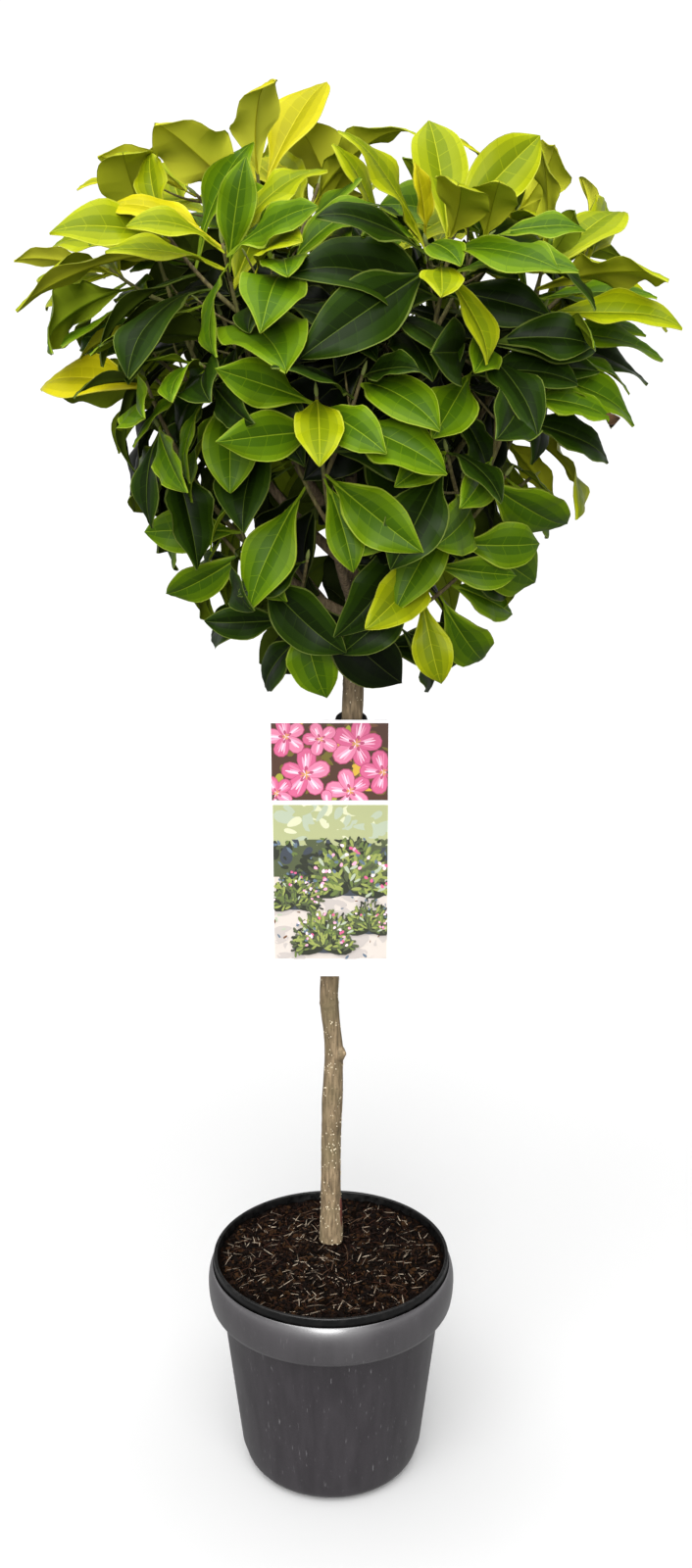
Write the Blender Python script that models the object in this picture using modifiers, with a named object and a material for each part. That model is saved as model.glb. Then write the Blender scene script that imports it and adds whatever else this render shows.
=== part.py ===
"""A magnolia grown as a standard: one clear stem with a leafy head, in its nursery pot inside an outer pot.

Metres, +Z up. The origin is the middle of the outer pot's flat underside, and -Y is the front.
The pots, the soil, the trunk, every bough, every leaf mass and the hang label are objects of their own.
"""

import math
import random
from dataclasses import dataclass

import bmesh
import bpy
from mathutils import Matrix, Vector
from mathutils.bvhtree import BVHTree

MM = 0.001
UP = Vector((0.0, 0.0, 1.0))
GAP = 0.3 * MM  # clearance between two solids that touch on the real plant
WELD = 0.001 * MM
GOLDEN_ANGLE = math.radians(137.5)

# Outer pot
POT_HEIGHT = 0.201
POT_RIM_RADIUS = 0.110
POT_BAND_HEIGHT = 0.040  # the thicker band under the rim
POT_BAND_EDGE = 0.008  # rounding under the band
POT_BAND_DRAFT = 0.001  # how much the band narrows towards it
POT_SHOULDER_RADIUS = 0.0980  # wall where the band ends
POT_FOOT_RADIUS = 0.0818  # wall carried down to the floor
POT_CORNER = 0.016  # rounding between wall and underside
POT_INNER_CORNER = 0.009
POT_WALL = 0.0032
POT_FLOOR = 0.004
RIM_ROUND = 0.0022

# Nursery pot that stands in it, and its soil
LINER_HEIGHT = 0.2060  # its lip stands a little above the outer pot's rim
LINER_RIM_RADIUS = 0.1050
LINER_LIP_DROP = 0.0110  # height of the thick lip
LINER_LIP_ROUND = 0.0008
LINER_LIP_DRAFT = 0.0003  # how much the lip flares downwards
LINER_NECK_RADIUS = 0.1020  # wall under the lip
LINER_BORE_RADIUS = 0.1020  # opening of the lip
LINER_SHOULDER_RADIUS = 0.0935  # outside of the wall where it starts to flare out to the lip
LINER_SHOULDER_Z = 0.166
LINER_FOOT_RADIUS = 0.0690
LINER_WALL = 0.0018
SOIL_CROWN_Z = 0.2070  # flat top of the heaped soil, where the trunk stands
SOIL_CROWN_RADIUS = 0.038
SOIL_EDGE_Z = 0.2025
TURN_STEPS = 36

# The heights of trunk, label and crown are read on a rule whose zero lies this far below the floor
RULE_DROP = 0.009

# Trunk, from its flat cut on the soil to the top: height, shift right, shift back, radius
TRUNK = (
    (0.2163, 0.0000, 0.0220, 0.0106),
    (0.2215, 0.0000, 0.0220, 0.0105),
    (0.2330, 0.0000, 0.0215, 0.0103),
    (0.2600, -0.0003, 0.0205, 0.0093),
    (0.3100, 0.0000, 0.0190, 0.0087),
    (0.3550, 0.0012, 0.0170, 0.0090),
    (0.3850, 0.0022, 0.0160, 0.0084),
    (0.4060, 0.0030, 0.0150, 0.0081),
    (0.4300, 0.0012, 0.0142, 0.0076),
    (0.4550, -0.0010, 0.0133, 0.0077),
    (0.4800, -0.0004, 0.0125, 0.0082),
    (0.5400, 0.0040, 0.0105, 0.0080),
    (0.6200, 0.0108, 0.0078, 0.0079),
    (0.6900, 0.0168, 0.0052, 0.0080),
    (0.7300, 0.0190, 0.0040, 0.0085),
    (0.7700, 0.0196, 0.0034, 0.0078),
    (0.8200, 0.0196, 0.0024, 0.0066),
    (0.8700, 0.0186, 0.0012, 0.0054),
    (0.9200, 0.0168, 0.0004, 0.0042),
    (0.9600, 0.0150, 0.0000, 0.0034),
)
KNOT_Z = 0.4075  # pruned bud scar on the right side
KNOT_RADIUS = 0.0058
KNOT_SHIFT = (0.72, -0.45)  # right and back from the trunk's centre, over its radius
KNOT_STRETCH = 1.5  # how much taller than wide it is

# Hang label and the rubber strap that carries it
LABEL_WIDTH = 0.099
LABEL_HEIGHT = 0.2245
LABEL_THICKNESS = 0.0009
LABEL_CORNER = 0.004
LABEL_TOP_Z = 0.7155
LABEL_SHIFT = 0.0002
STRAP_Z = 0.7065
STRAP_BORE = 0.0112
STRAP_THICKNESS = 0.0022
STRAP_HEIGHT = 0.0065
STRAP_PAD_WIDTH = 0.020
STRAP_PAD_HEIGHT = 0.0120
STRAP_PAD_DROP = 0.0015
STRAP_STEPS = 24

LABEL_SPACE = 0.004  # leaves keep this far from the label

# Crown: its axis, and how far from the axis a leaf may reach at each height
CROWN_AXIS_X = 0.014
CROWN_OUTLINE = (
    (0.708, 0.060),
    (0.735, 0.085),
    (0.790, 0.125),
    (0.840, 0.155),
    (0.900, 0.185),
    (0.960, 0.222),
    (1.005, 0.250),
    (1.095, 0.254),
    (1.130, 0.225),
    (1.170, 0.170),
    (1.198, 0.115),
)
HANG_BELOW = 0.950  # leaves rooted below this height hang
STAND_ABOVE = 1.110  # leaves rooted above this height stand

# What draws a leaf's direction, and what turns its upper side: at the top of the crown, and low down
DRAW_OWN = 0.85  # its own spread from the shoot
DRAW_UP = (0.30, -0.80)
DRAW_OUT = (0.25, 0.45)
LIGHT_AXIS = 0.25
LIGHT_UP = (0.75, 0.45)
LIGHT_OUT = (0.55, 0.95)

# Limbs
BOUGH_ROOT_RADIUS = 0.0046
BOUGH_TIP_RADIUS = 0.0031
LEADER_ROOT_RADIUS = 0.0031
STEM_TIP_RADIUS = 0.0021
LIMB_STEPS = 12
LIMB_BEND = 0.74  # a limb runs this far out
LIMB_RISE = 0.34  # while it rises this share of its way

# Side shoots
SHOOT_ROOT_RADIUS = 0.0025
SHOOT_TIP_RADIUS = 0.0021
SHOOT_LENGTH = 0.090
SHOOT_STEPS = 3
SHOOT_TRIES = 8
SHOOT_STRETCH = (0.16, 0.72)  # shares of the stem that carry the first and the last shoot
SHOOT_LOOSE = (0.2, 0.25)  # radians its turn may stray, and how much more at each further try
SHOOT_SPREAD = (0.75, 1.1)  # shortest and longest, over SHOOT_LENGTH
SHOOT_LOSS = 0.2  # how much shorter shoots are at the stem's tip
SHOOT_HEADING = (0.65, 0.85, 0.25)  # along the stem, away from it, and out of the crown
SHOOT_LIFT = 0.45  # how much its outer half turns up
SHOOT_NECK = 0.3  # share of its inner half that may lie against the stem
SHOOT_REACH = 0.6  # radius about its middle that holds a shoot, over its length
SHOOT_MARGIN = 0.040  # a shoot's tip keeps this far inside the crown, so that its leaves fit
LEAST_LEAVES = 2  # a shoot with fewer isn't kept

# Leaves
LEAF_LENGTH = 0.102
LEAF_WIDTH_SHARE = 0.60
LEAF_THICKNESS_SHARE = 0.0125
LEAF_SECTIONS = ((0.32, 0.74), (0.66, 1.0))  # share of the length, share of the width
LEAF_ROOT_RADIUS = 0.0009
LEAF_NECK = 0.22  # share of the first section that may lie against the wood
LEAF_BEND = 32.0  # degrees between base and tip
LEAF_SPREAD = (84.0, 36.0)  # degrees from the shoot, for its lowest and its highest leaf
LEAF_TRIES = 9
LEAF_LOOSE = (0.25, 0.14)  # radians a leaf may stray, and how much more at each further try
LEAF_LIFT = (-0.35, 0.25)  # how far it may dip and rise, for each radian it strays
LEAF_ROLL = (0.15, 0.4)  # radians it rolls about its midrib, and how much more for each radian it strays
LEAF_SIZE_SPREAD = (0.88, 1.12)
LEAF_SIZE_LOSS = (1.06, 0.25)  # length that it starts from, and loses for each radian it strays
LEAF_WIDTH_SPREAD = (0.86, 1.10)
LEAF_BEND_SPREAD = (0.3, 1.7)
LEAF_GROWN = 1.04  # length of the leaves below a rosette
LEAF_YOUNG = (0.6, 0.65)  # share of the limb from where they get shorter, and how fast
LEAF_REACH = 0.62  # radius about its middle that holds a leaf, over its length
LEAF_CLEARANCE = 0.9 * MM
STEM_LEAVES = 8
STEM_LEAVES_FROM = 0.25
SHOOT_LEAVES = 5
SHOOT_LEAVES_FROM = 0.35
TIP_LEAF = 0.985  # share of the shoot where its last leaf sits
CROWDING = 1.7  # how much closer leaves sit towards the tip
SEED = 8300

# The one fruit left on the plant, at the tip of this mass's stem
FRUIT_MASS = "left"
FRUIT_LENGTH = 0.027
FRUIT_RADIUS = 0.0043


@dataclass(frozen=True)
class Mass:
    """One leaf mass: bearing and reach of its tip from the crown's axis, its height, and where it forks."""

    name: str
    bearing: float  # degrees, 0 to the right and 270 to the front
    reach: float
    height: float
    fork: float
    bough_share: float  # part of the limb that stays bare, as a bough
    shoots: int


MASSES = (
    Mass("front_right", 308.0, 0.120, 1.096, 0.876, 0.40, 4),
    Mass("front_left", 228.0, 0.130, 1.085, 0.862, 0.40, 4),
    Mass("right", 352.0, 0.148, 1.070, 0.848, 0.40, 4),
    Mass("left", 176.0, 0.148, 1.092, 0.836, 0.40, 4),
    Mass("top_left", 172.0, 0.068, 1.136, 0.910, 0.34, 4),
    Mass("back_right", 38.0, 0.142, 1.098, 0.866, 0.40, 4),
    Mass("back", 88.0, 0.115, 1.095, 0.888, 0.40, 4),
    Mass("back_left", 134.0, 0.142, 1.100, 0.854, 0.40, 4),
    Mass("waist_front", 262.0, 0.150, 0.985, 0.808, 0.40, 4),
    Mass("waist_left", 204.0, 0.162, 0.990, 0.796, 0.40, 4),
    Mass("waist_right", 318.0, 0.160, 0.980, 0.788, 0.40, 4),
    Mass("waist_back_right", 16.0, 0.156, 0.980, 0.802, 0.40, 4),
    Mass("waist_back", 74.0, 0.152, 0.980, 0.792, 0.40, 4),
    Mass("waist_back_left", 134.0, 0.156, 0.980, 0.782, 0.40, 4),
    Mass("skirt_left", 222.0, 0.106, 0.880, 0.754, 0.0, 3),
    Mass("skirt_right", 308.0, 0.110, 0.875, 0.766, 0.0, 3),
    Mass("skirt_back", 96.0, 0.106, 0.875, 0.760, 0.0, 3),
    Mass("leader", 330.0, 0.030, 1.075, 0.0, 0.0, 4),
)


# ---------------------------------------------------------------- growth


def blend(a, b, share):
    return a + (b - a) * share


def along(table, height):
    """The table's row at this height, between its nearest rows."""
    for low, high in zip(table, table[1:]):
        if height <= high[0]:
            share = max(0.0, (height - low[0]) / (high[0] - low[0]))
            return [blend(a, b, share) for a, b in zip(low, high)]
    return list(table[-1])


def trunk_at(height):
    """Centre and radius of the trunk."""
    z, x, y, radius = along(TRUNK, height)
    return Vector((x, y, z)), radius


def strap_place():
    """Centre of the strap's ring: it hangs on the trunk, so its back lies against the bark."""
    centre, radius = trunk_at(STRAP_Z)
    return centre - Vector((0.0, STRAP_BORE - radius - GAP, 0.0))


def label_y():
    """Mid plane of the label, in front of the strap's pad."""
    return strap_place().y - STRAP_BORE - STRAP_THICKNESS - GAP - LABEL_THICKNESS / 2


def outward(point):
    """Level direction away from the crown's axis."""
    return Vector((point.x - CROWN_AXIS_X, point.y, 0.0)).normalized()


def inside_crown(point):
    if not CROWN_OUTLINE[0][0] <= point.z <= CROWN_OUTLINE[-1][0]:
        return False
    return math.hypot(point.x - CROWN_AXIS_X, point.y) <= along(CROWN_OUTLINE, point.z)[1]


def curve_points(start, middle, end, steps):
    """Points on a curve that leaves start towards middle and comes to end from it."""
    shares = [i / steps for i in range(steps + 1)]
    return [start * (1 - t) ** 2 + middle * (2 * t * (1 - t)) + end * t**2 for t in shares]


def point_on(points, share):
    """Place and direction at a share of a line's length, its points being evenly spaced."""
    place = min(share, 0.9999) * (len(points) - 1)
    index = int(place)
    a, b = points[index], points[index + 1]
    return a.lerp(b, place - index), (b - a).normalized()


def cut_line(points, first, last):
    """The stretch of a line between two shares of it."""
    count = max(3, round((last - first) * (len(points) - 1)) + 1)
    return [point_on(points, blend(first, last, i / (count - 1)))[0] for i in range(count)]


def side_of(axis, angle):
    """A direction square to the axis, turned about it by the angle."""
    level = axis.cross(Vector((0.31, 0.95, 0.12))).normalized()
    return Matrix.Rotation(angle, 3, axis) @ level


def limb_line(mass):
    """The whole limb of a mass, from the trunk's centre to the tip: out first, then up."""
    bearing = math.radians(mass.bearing)
    tip = Vector((CROWN_AXIS_X + mass.reach * math.cos(bearing), mass.reach * math.sin(bearing), mass.height))
    if not mass.fork:
        top = trunk_at(TRUNK[-1][0])[0]
        return curve_points(top, top.lerp(tip, 0.5), tip, LIMB_STEPS)
    fork = trunk_at(mass.fork)[0]
    bend = fork.lerp(tip, LIMB_BEND)
    bend.z = blend(fork.z, tip.z, LIMB_RISE)
    return curve_points(fork, bend, tip, LIMB_STEPS)


def tube_rings(points, radii, sides=5):
    """Rings of points round a line, for testing what a limb would touch."""
    rings = []
    for index, (point, radius) in enumerate(zip(points, radii)):
        axis = (points[min(index + 1, len(points) - 1)] - points[max(index - 1, 0)]).normalized()
        rings.append([point + side_of(axis, math.tau * k / sides) * radius for k in range(sides)])
    return rings


def leaf_rings(length, width, bend, thickness):
    """Three-sided sections of a leaf along +X, upper side +Z, from its root to its tip.

    Margins on top and the midrib's keel below; the blade bends down towards the tip.
    """

    def spine(share):
        return Vector((math.cos(bend * share / 2), 0.0, -math.sin(bend * share / 2))) * (length * share)

    root = LEAF_ROOT_RADIUS
    rings = [[Vector((0.0, root, root / 2)), Vector((0.0, -root, root / 2)), Vector((0.0, 0.0, -root))]]
    for share, width_share in LEAF_SECTIONS:
        half = Vector((0.0, width * width_share / 2, 0.0))
        keel = Vector((math.sin(bend * share), 0.0, math.cos(bend * share))) * thickness
        rings.append([spine(share) + half, spine(share) - half, spine(share) - keel])
    return [*rings, [spine(1.0)]]


def ring_faces(rings):
    """Faces of a closed skin over rings of points: flat ends, or a tip where a ring is one point."""
    starts = [sum(len(ring) for ring in rings[:i]) for i in range(len(rings))]
    faces = [tuple(reversed(range(len(rings[0]))))]
    for low, high, ring, after in zip(starts, starts[1:], rings, rings[1:]):
        count = len(ring)
        for k in range(count):
            n = (k + 1) % count
            if len(after) == 1:
                faces.append((low + k, low + n, high))
            else:
                faces.append((low + k, low + n, high + n, high + k))
    if len(rings[-1]) > 1:
        faces.append(tuple(starts[-1] + k for k in range(len(rings[-1]))))
    return faces


def touch_tree(rings):
    points = [point for ring in rings for point in ring]
    return BVHTree.FromPolygons(points, ring_faces(rings))


@dataclass
class Leaf:
    """A placed leaf: its frame, size and bend."""

    frame: Matrix
    length: float
    width: float
    bend: float

    def rings(self, clearance=0.0):
        thickness = self.length * LEAF_THICKNESS_SHARE + clearance * 2
        flat = leaf_rings(self.length, self.width + clearance * 2, self.bend, thickness)
        return [[self.frame @ point for point in ring] for ring in flat]


@dataclass
class Limb:
    """A tapering stretch of wood with the leaves that grow on it."""

    points: list
    root_radius: float
    tip_radius: float
    leaves: list

    def radii(self, extra=0.0):
        last = len(self.points) - 1
        return [blend(self.root_radius, self.tip_radius, i / last) + extra for i in range(last + 1)]


class Space:
    """What is already grown, each with a sphere round it, so that nothing new touches it."""

    def __init__(self):
        self.taken = []

    def add(self, tree, middle, reach):
        self.taken.append((tree, middle, reach))

    def add_tube(self, points, radii, sides=5):
        wide = [radius + LEAF_CLEARANCE for radius in radii]
        reach = (points[0] - points[-1]).length * 0.55 + max(wide)
        self.add(touch_tree(tube_rings(points, wide, sides)), points[0].lerp(points[-1], 0.5), reach)

    def free(self, tree, middle, reach):
        near = (other for other, centre, radius in self.taken if (middle - centre).length < reach + radius)
        return not any(tree.overlap(other) for other in near)


def hang_at(height):
    """How far a leaf rooted at this height hangs: 0 near the top of the crown, 1 low down."""
    return min(1.0, max(0.0, (STAND_ABOVE - height) / (STAND_ABOVE - HANG_BELOW)))


def leaf_direction(root, axis, turn, spread, lift):
    """The way a leaf points: spread from its shoot, drawn outward, and hanging low in the crown."""
    own = axis * math.cos(spread) + side_of(axis, turn) * math.sin(spread)
    hang = hang_at(root.z)
    drawn = outward(root) * blend(*DRAW_OUT, hang) + UP * (blend(*DRAW_UP, hang) + lift)
    return (own * DRAW_OWN + drawn).normalized()


def leaf_frame(root, direction, axis, roll):
    """Leaf frame with +X along the leaf and +Z out of its upper side, which turns to the light."""
    hang = hang_at(root.z)
    upper = axis * LIGHT_AXIS + UP * blend(*LIGHT_UP, hang) + outward(root) * blend(*LIGHT_OUT, hang)
    upper = (upper - direction * upper.dot(direction)).normalized()
    upper = Matrix.Rotation(roll, 3, direction) @ upper
    frame = Matrix((direction, upper.cross(direction), upper)).transposed().to_4x4()
    return Matrix.Translation(root) @ frame


def grow_leaf(rng, space, limb, share, turn, spread, size):
    """One leaf, tried at ever looser angles until it is inside the crown and clear of all else, or None."""
    root, axis = point_on(limb.points, share)
    for attempt in range(LEAF_TRIES):
        loose = LEAF_LOOSE[0] + LEAF_LOOSE[1] * attempt
        own_turn = turn + rng.uniform(-1.0, 1.0) * loose
        own_spread = spread + rng.uniform(-0.5, 0.5) * loose
        direction = leaf_direction(root, axis, own_turn, own_spread, rng.uniform(*LEAF_LIFT) * loose)
        frame = leaf_frame(root, direction, axis, rng.gauss(0.0, LEAF_ROLL[0] + LEAF_ROLL[1] * loose))
        length = size * rng.uniform(*LEAF_SIZE_SPREAD) * (LEAF_SIZE_LOSS[0] - LEAF_SIZE_LOSS[1] * loose)
        width = length * LEAF_WIDTH_SHARE * rng.uniform(*LEAF_WIDTH_SPREAD)
        leaf = Leaf(frame, length, width, math.radians(LEAF_BEND * rng.uniform(*LEAF_BEND_SPREAD)))
        rings = leaf.rings(LEAF_CLEARANCE)
        if not all(inside_crown(point) for ring in rings[1:] for point in ring):
            continue
        neck = [a.lerp(b, LEAF_NECK) for a, b in zip(rings[0], rings[1])]
        tree = touch_tree([neck, *rings[1:]])
        middle = frame @ Vector((length / 2, 0.0, 0.0))
        if space.free(tree, middle, length * LEAF_REACH):
            space.add(tree, middle, length * LEAF_REACH)
            return leaf
    return None


def grow_leaves(rng, space, limb, first, count):
    """Leaves in a spiral from a share of the limb to its tip, where they crowd into a rosette."""
    turn = rng.uniform(0.0, math.tau)
    for index in range(count):
        rank = index / (count - 1)
        share = blend(first, TIP_LEAF, 1 - (1 - rank) ** CROWDING)
        size = LEAF_LENGTH * (LEAF_GROWN - LEAF_YOUNG[1] * max(0.0, rank - LEAF_YOUNG[0]))
        leaf = grow_leaf(rng, space, limb, share, turn, math.radians(blend(*LEAF_SPREAD, rank)), size)
        if leaf:
            limb.leaves.append(leaf)
        turn += GOLDEN_ANGLE


def grow_shoot(rng, space, stem, share, turn):
    """A side shoot that leaves its stem and curves up, or None where something is in its way."""
    root, axis = point_on(stem.points, share)
    for attempt in range(SHOOT_TRIES):
        stray = rng.uniform(-1.0, 1.0) * (SHOOT_LOOSE[0] + SHOOT_LOOSE[1] * attempt)
        length = SHOOT_LENGTH * rng.uniform(*SHOOT_SPREAD) * (1.0 - SHOOT_LOSS * share)
        along_stem, away, out = SHOOT_HEADING
        heading = axis * along_stem + side_of(axis, turn + stray) * away + outward(root) * out
        heading.normalize()
        bend = root + heading * length / 2
        tip = bend + (heading + UP * SHOOT_LIFT).normalized() * length / 2
        shoot = Limb(curve_points(root, bend, tip, SHOOT_STEPS), SHOOT_ROOT_RADIUS, SHOOT_TIP_RADIUS, [])
        free_stretch = curve_points(root.lerp(bend, SHOOT_NECK), bend, tip, SHOOT_STEPS)
        tree = touch_tree(tube_rings(free_stretch, shoot.radii(LEAF_CLEARANCE)))
        if not inside_crown(tip + outward(tip) * SHOOT_MARGIN):
            continue
        middle = root.lerp(tip, 0.5)
        if space.free(tree, middle, length * SHOOT_REACH):
            space.add(tree, middle, length * SHOOT_REACH)
            return shoot
    return None


def grow_limb(mass, space):
    """A mass's bough, if it has one, and the stem that goes on from it, both from one line."""
    line = limb_line(mass)
    bough = None
    start, root_radius = 0.0, BOUGH_ROOT_RADIUS if mass.fork else LEADER_ROOT_RADIUS
    if mass.bough_share:
        bough = Limb(cut_line(line, 0.0, mass.bough_share), root_radius, BOUGH_TIP_RADIUS, [])
        start = mass.bough_share + GAP / sum((b - a).length for a, b in zip(line, line[1:]))
        root_radius = BOUGH_TIP_RADIUS
        space.add_tube(bough.points, bough.radii())
    stem = Limb(cut_line(line, start, 1.0), root_radius, STEM_TIP_RADIUS, [])
    space.add_tube(stem.points, stem.radii())
    return bough, stem


def keep_label_free(space):
    """Takes up the space of the label and its strap."""
    half = LABEL_WIDTH / 2 + LABEL_SPACE
    back = strap_place().y + STRAP_BORE + STRAP_THICKNESS
    corners = [
        (LABEL_SHIFT - half, label_y() - LABEL_SPACE),
        (LABEL_SHIFT + half, label_y() - LABEL_SPACE),
        (LABEL_SHIFT + half, label_y() + LABEL_SPACE),
        (strap_place().x + STRAP_BORE, back),
        (strap_place().x - STRAP_BORE, back),
        (LABEL_SHIFT - half, label_y() + LABEL_SPACE),
    ]
    heights = (LABEL_TOP_Z - LABEL_HEIGHT, LABEL_TOP_Z + LABEL_SPACE)
    rings = [[Vector((x, y, z)) for x, y in corners] for z in heights]
    space.add(touch_tree(rings), Vector((LABEL_SHIFT, label_y(), LABEL_TOP_Z)), LABEL_HEIGHT)


def fruit_frame(stem):
    """Frame of the fruit on a stem's tip: +Z along it, more upright than the stem."""
    tip, axis = point_on(stem.points, 1.0)
    aim = (axis + UP * 0.5).normalized()
    return Matrix.Translation(tip) @ aim.to_track_quat("Z", "Y").to_matrix().to_4x4()


def grow_crown():
    """Each mass with its bough and its limbs, grown in turns so that all get room."""
    space = Space()
    keep_label_free(space)
    rows = [trunk_at(blend(CROWN_OUTLINE[0][0], TRUNK[-1][0], i / LIMB_STEPS)) for i in range(LIMB_STEPS + 1)]
    space.add_tube([centre for centre, _ in rows], [radius for _, radius in rows])
    grown = []
    for number, mass in enumerate(MASSES):
        bough, stem = grow_limb(mass, space)
        grown.append((mass, random.Random(SEED + number), bough, [stem]))
        if mass.name == FRUIT_MASS:
            ends = [fruit_frame(stem) @ Vector((0.0, 0.0, FRUIT_LENGTH * t)) for t in (0.15, 0.6, 1.05)]
            space.add_tube(ends, [FRUIT_RADIUS] * len(ends))
    for mass, rng, _, limbs in grown:
        turn = rng.uniform(0.0, math.tau)
        for k in range(mass.shoots):
            shoot = grow_shoot(rng, space, limbs[0], blend(*SHOOT_STRETCH, k / (mass.shoots - 1)), turn)
            if shoot:
                limbs.append(shoot)
            turn += GOLDEN_ANGLE
    for _, rng, _, limbs in grown:
        grow_leaves(rng, space, limbs[0], STEM_LEAVES_FROM, STEM_LEAVES)
    for _, rng, _, limbs in grown:
        for shoot in limbs[1:]:
            grow_leaves(rng, space, shoot, SHOOT_LEAVES_FROM, SHOOT_LEAVES)
        limbs[1:] = [shoot for shoot in limbs[1:] if len(shoot.leaves) >= LEAST_LEAVES]
    return grown


# ---------------------------------------------------------------- objects


def clear_scene():
    for obj in list(bpy.data.objects):
        bpy.data.objects.remove(obj, do_unlink=True)


def new_collection(name, helper=False):
    collection = bpy.data.collections.new(name)
    bpy.context.scene.collection.children.link(collection)
    collection.hide_render = helper
    return collection


def new_material(name, colour, roughness):
    material = bpy.data.materials.new(name)
    material.use_nodes = True
    shader = material.node_tree.nodes["Principled BSDF"]
    shader.inputs["Base Color"].default_value = (*colour, 1.0)
    shader.inputs["Roughness"].default_value = roughness
    shader.inputs["Metallic"].default_value = 0.0
    return material


def add_object(name, data, collection, material=None):
    obj = bpy.data.objects.new(name, data)
    collection.objects.link(obj)
    if material:
        data.materials.append(material)
    return obj


def mesh_of(obj):
    """A mesh of the object as its modifiers or curve settings make it, with loose caps welded."""
    graph = bpy.context.evaluated_depsgraph_get()
    mesh = bpy.data.meshes.new_from_object(obj.evaluated_get(graph))
    welded = bmesh.new()
    welded.from_mesh(mesh)
    bmesh.ops.remove_doubles(welded, verts=welded.verts, dist=WELD)
    welded.to_mesh(mesh)
    welded.free()
    return mesh


def tube(name, points, radii, roundness, collection, material=None):
    """A tapering tube with flat ends, as a mesh object; roundness 0 gives 4 sides, and each step 2 more."""
    curve = bpy.data.curves.new(name, "CURVE")
    curve.dimensions = "3D"
    curve.bevel_depth = 1.0
    curve.bevel_resolution = roundness
    curve.use_fill_caps = True
    spline = curve.splines.new("POLY")
    spline.points.add(len(points) - 1)
    for knot, point, radius in zip(spline.points, points, radii):
        knot.co = (*point, 1.0)
        knot.radius = radius
    guide = add_object(name, curve, collection)
    mesh = mesh_of(guide)
    bpy.data.objects.remove(guide)
    return add_object(name, mesh, collection, material)


def arc(centre, radius, first, last, steps):
    """Points of an arc in the profile plane, by angles in degrees from +X towards +Z."""
    angles = [math.radians(blend(first, last, i / steps)) for i in range(steps + 1)]
    return [(centre[0] + radius * math.cos(a), centre[1] + radius * math.sin(a)) for a in angles]


def turned(name, profile, collection, material, steps=TURN_STEPS):
    """A body of revolution from (radius, height) points that run down its outer side."""
    mesh = bpy.data.meshes.new(name)
    points = [(radius, 0.0, height) for radius, height in profile]
    mesh.from_pydata(points, [(i, i + 1) for i in range(len(points) - 1)], [])
    obj = add_object(name, mesh, collection, material)
    screw = obj.modifiers.new("Turn", "SCREW")
    screw.steps = steps
    screw.render_steps = steps
    screw.use_merge_vertices = True
    screw.merge_threshold = 0.00001
    screw.use_smooth_shade = True
    return obj


def cut(obj, cutter):
    modifier = obj.modifiers.new("Cut", "BOOLEAN")
    modifier.operation = "DIFFERENCE"
    modifier.object = cutter


def apply_modifiers(obj):
    material = obj.data.materials[0] if obj.data.materials else None
    mesh = mesh_of(obj)
    obj.modifiers.clear()
    obj.data = mesh
    if material and not mesh.materials:
        mesh.materials.append(material)


def build_pot(collection):
    """Outer pot: tapered wall, a thicker band under the rim, rounded foot, open top."""
    foot_slope = (POT_SHOULDER_RADIUS - POT_FOOT_RADIUS) / (POT_HEIGHT - POT_BAND_HEIGHT)
    band_z = POT_HEIGHT - POT_BAND_HEIGHT
    edge_z = band_z + POT_BAND_EDGE
    inner_top = POT_RIM_RADIUS - 2 * RIM_ROUND
    profile = [
        (0.0, POT_FLOOR),
        (POT_FOOT_RADIUS - POT_INNER_CORNER, POT_FLOOR),
        (POT_FOOT_RADIUS - POT_WALL, POT_INNER_CORNER),
        (POT_SHOULDER_RADIUS - POT_WALL, band_z),
        (inner_top, edge_z),
        *arc((POT_RIM_RADIUS - RIM_ROUND, POT_HEIGHT - RIM_ROUND), RIM_ROUND, 180, 0, 3),
        *arc((POT_RIM_RADIUS - POT_BAND_DRAFT - POT_BAND_EDGE, edge_z), POT_BAND_EDGE, 0, -90, 3),
        (POT_SHOULDER_RADIUS, band_z),
        (POT_FOOT_RADIUS + foot_slope * POT_CORNER, POT_CORNER),
        *arc((POT_FOOT_RADIUS - POT_CORNER, POT_CORNER), POT_CORNER, -20, -90, 3),
        (0.0, 0.0),
    ]
    turned("pot", profile, collection, new_material("anthracite plastic", (0.055, 0.056, 0.059), 0.42))


def build_liner(collection):
    """Nursery pot: thin wall that flares to a thick lip, standing on the outer pot's floor."""
    floor = POT_FLOOR + GAP
    lip = LINER_HEIGHT - LINER_LIP_DROP
    crest = LINER_HEIGHT - LINER_LIP_ROUND
    profile = [
        (0.0, floor + LINER_WALL),
        (LINER_FOOT_RADIUS - LINER_WALL, floor + LINER_WALL),
        (LINER_SHOULDER_RADIUS - LINER_WALL, LINER_SHOULDER_Z),
        (LINER_BORE_RADIUS, crest),
        (LINER_BORE_RADIUS + LINER_LIP_ROUND, LINER_HEIGHT),
        (LINER_RIM_RADIUS - LINER_LIP_ROUND, LINER_HEIGHT),
        (LINER_RIM_RADIUS, crest),
        (LINER_RIM_RADIUS + LINER_LIP_DRAFT, lip),
        (LINER_NECK_RADIUS, lip),
        (LINER_SHOULDER_RADIUS, LINER_SHOULDER_Z),
        (LINER_FOOT_RADIUS, floor),
        (0.0, floor),
    ]
    turned("nursery_pot", profile, collection, new_material("black plastic", (0.012, 0.012, 0.013), 0.5))


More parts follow.
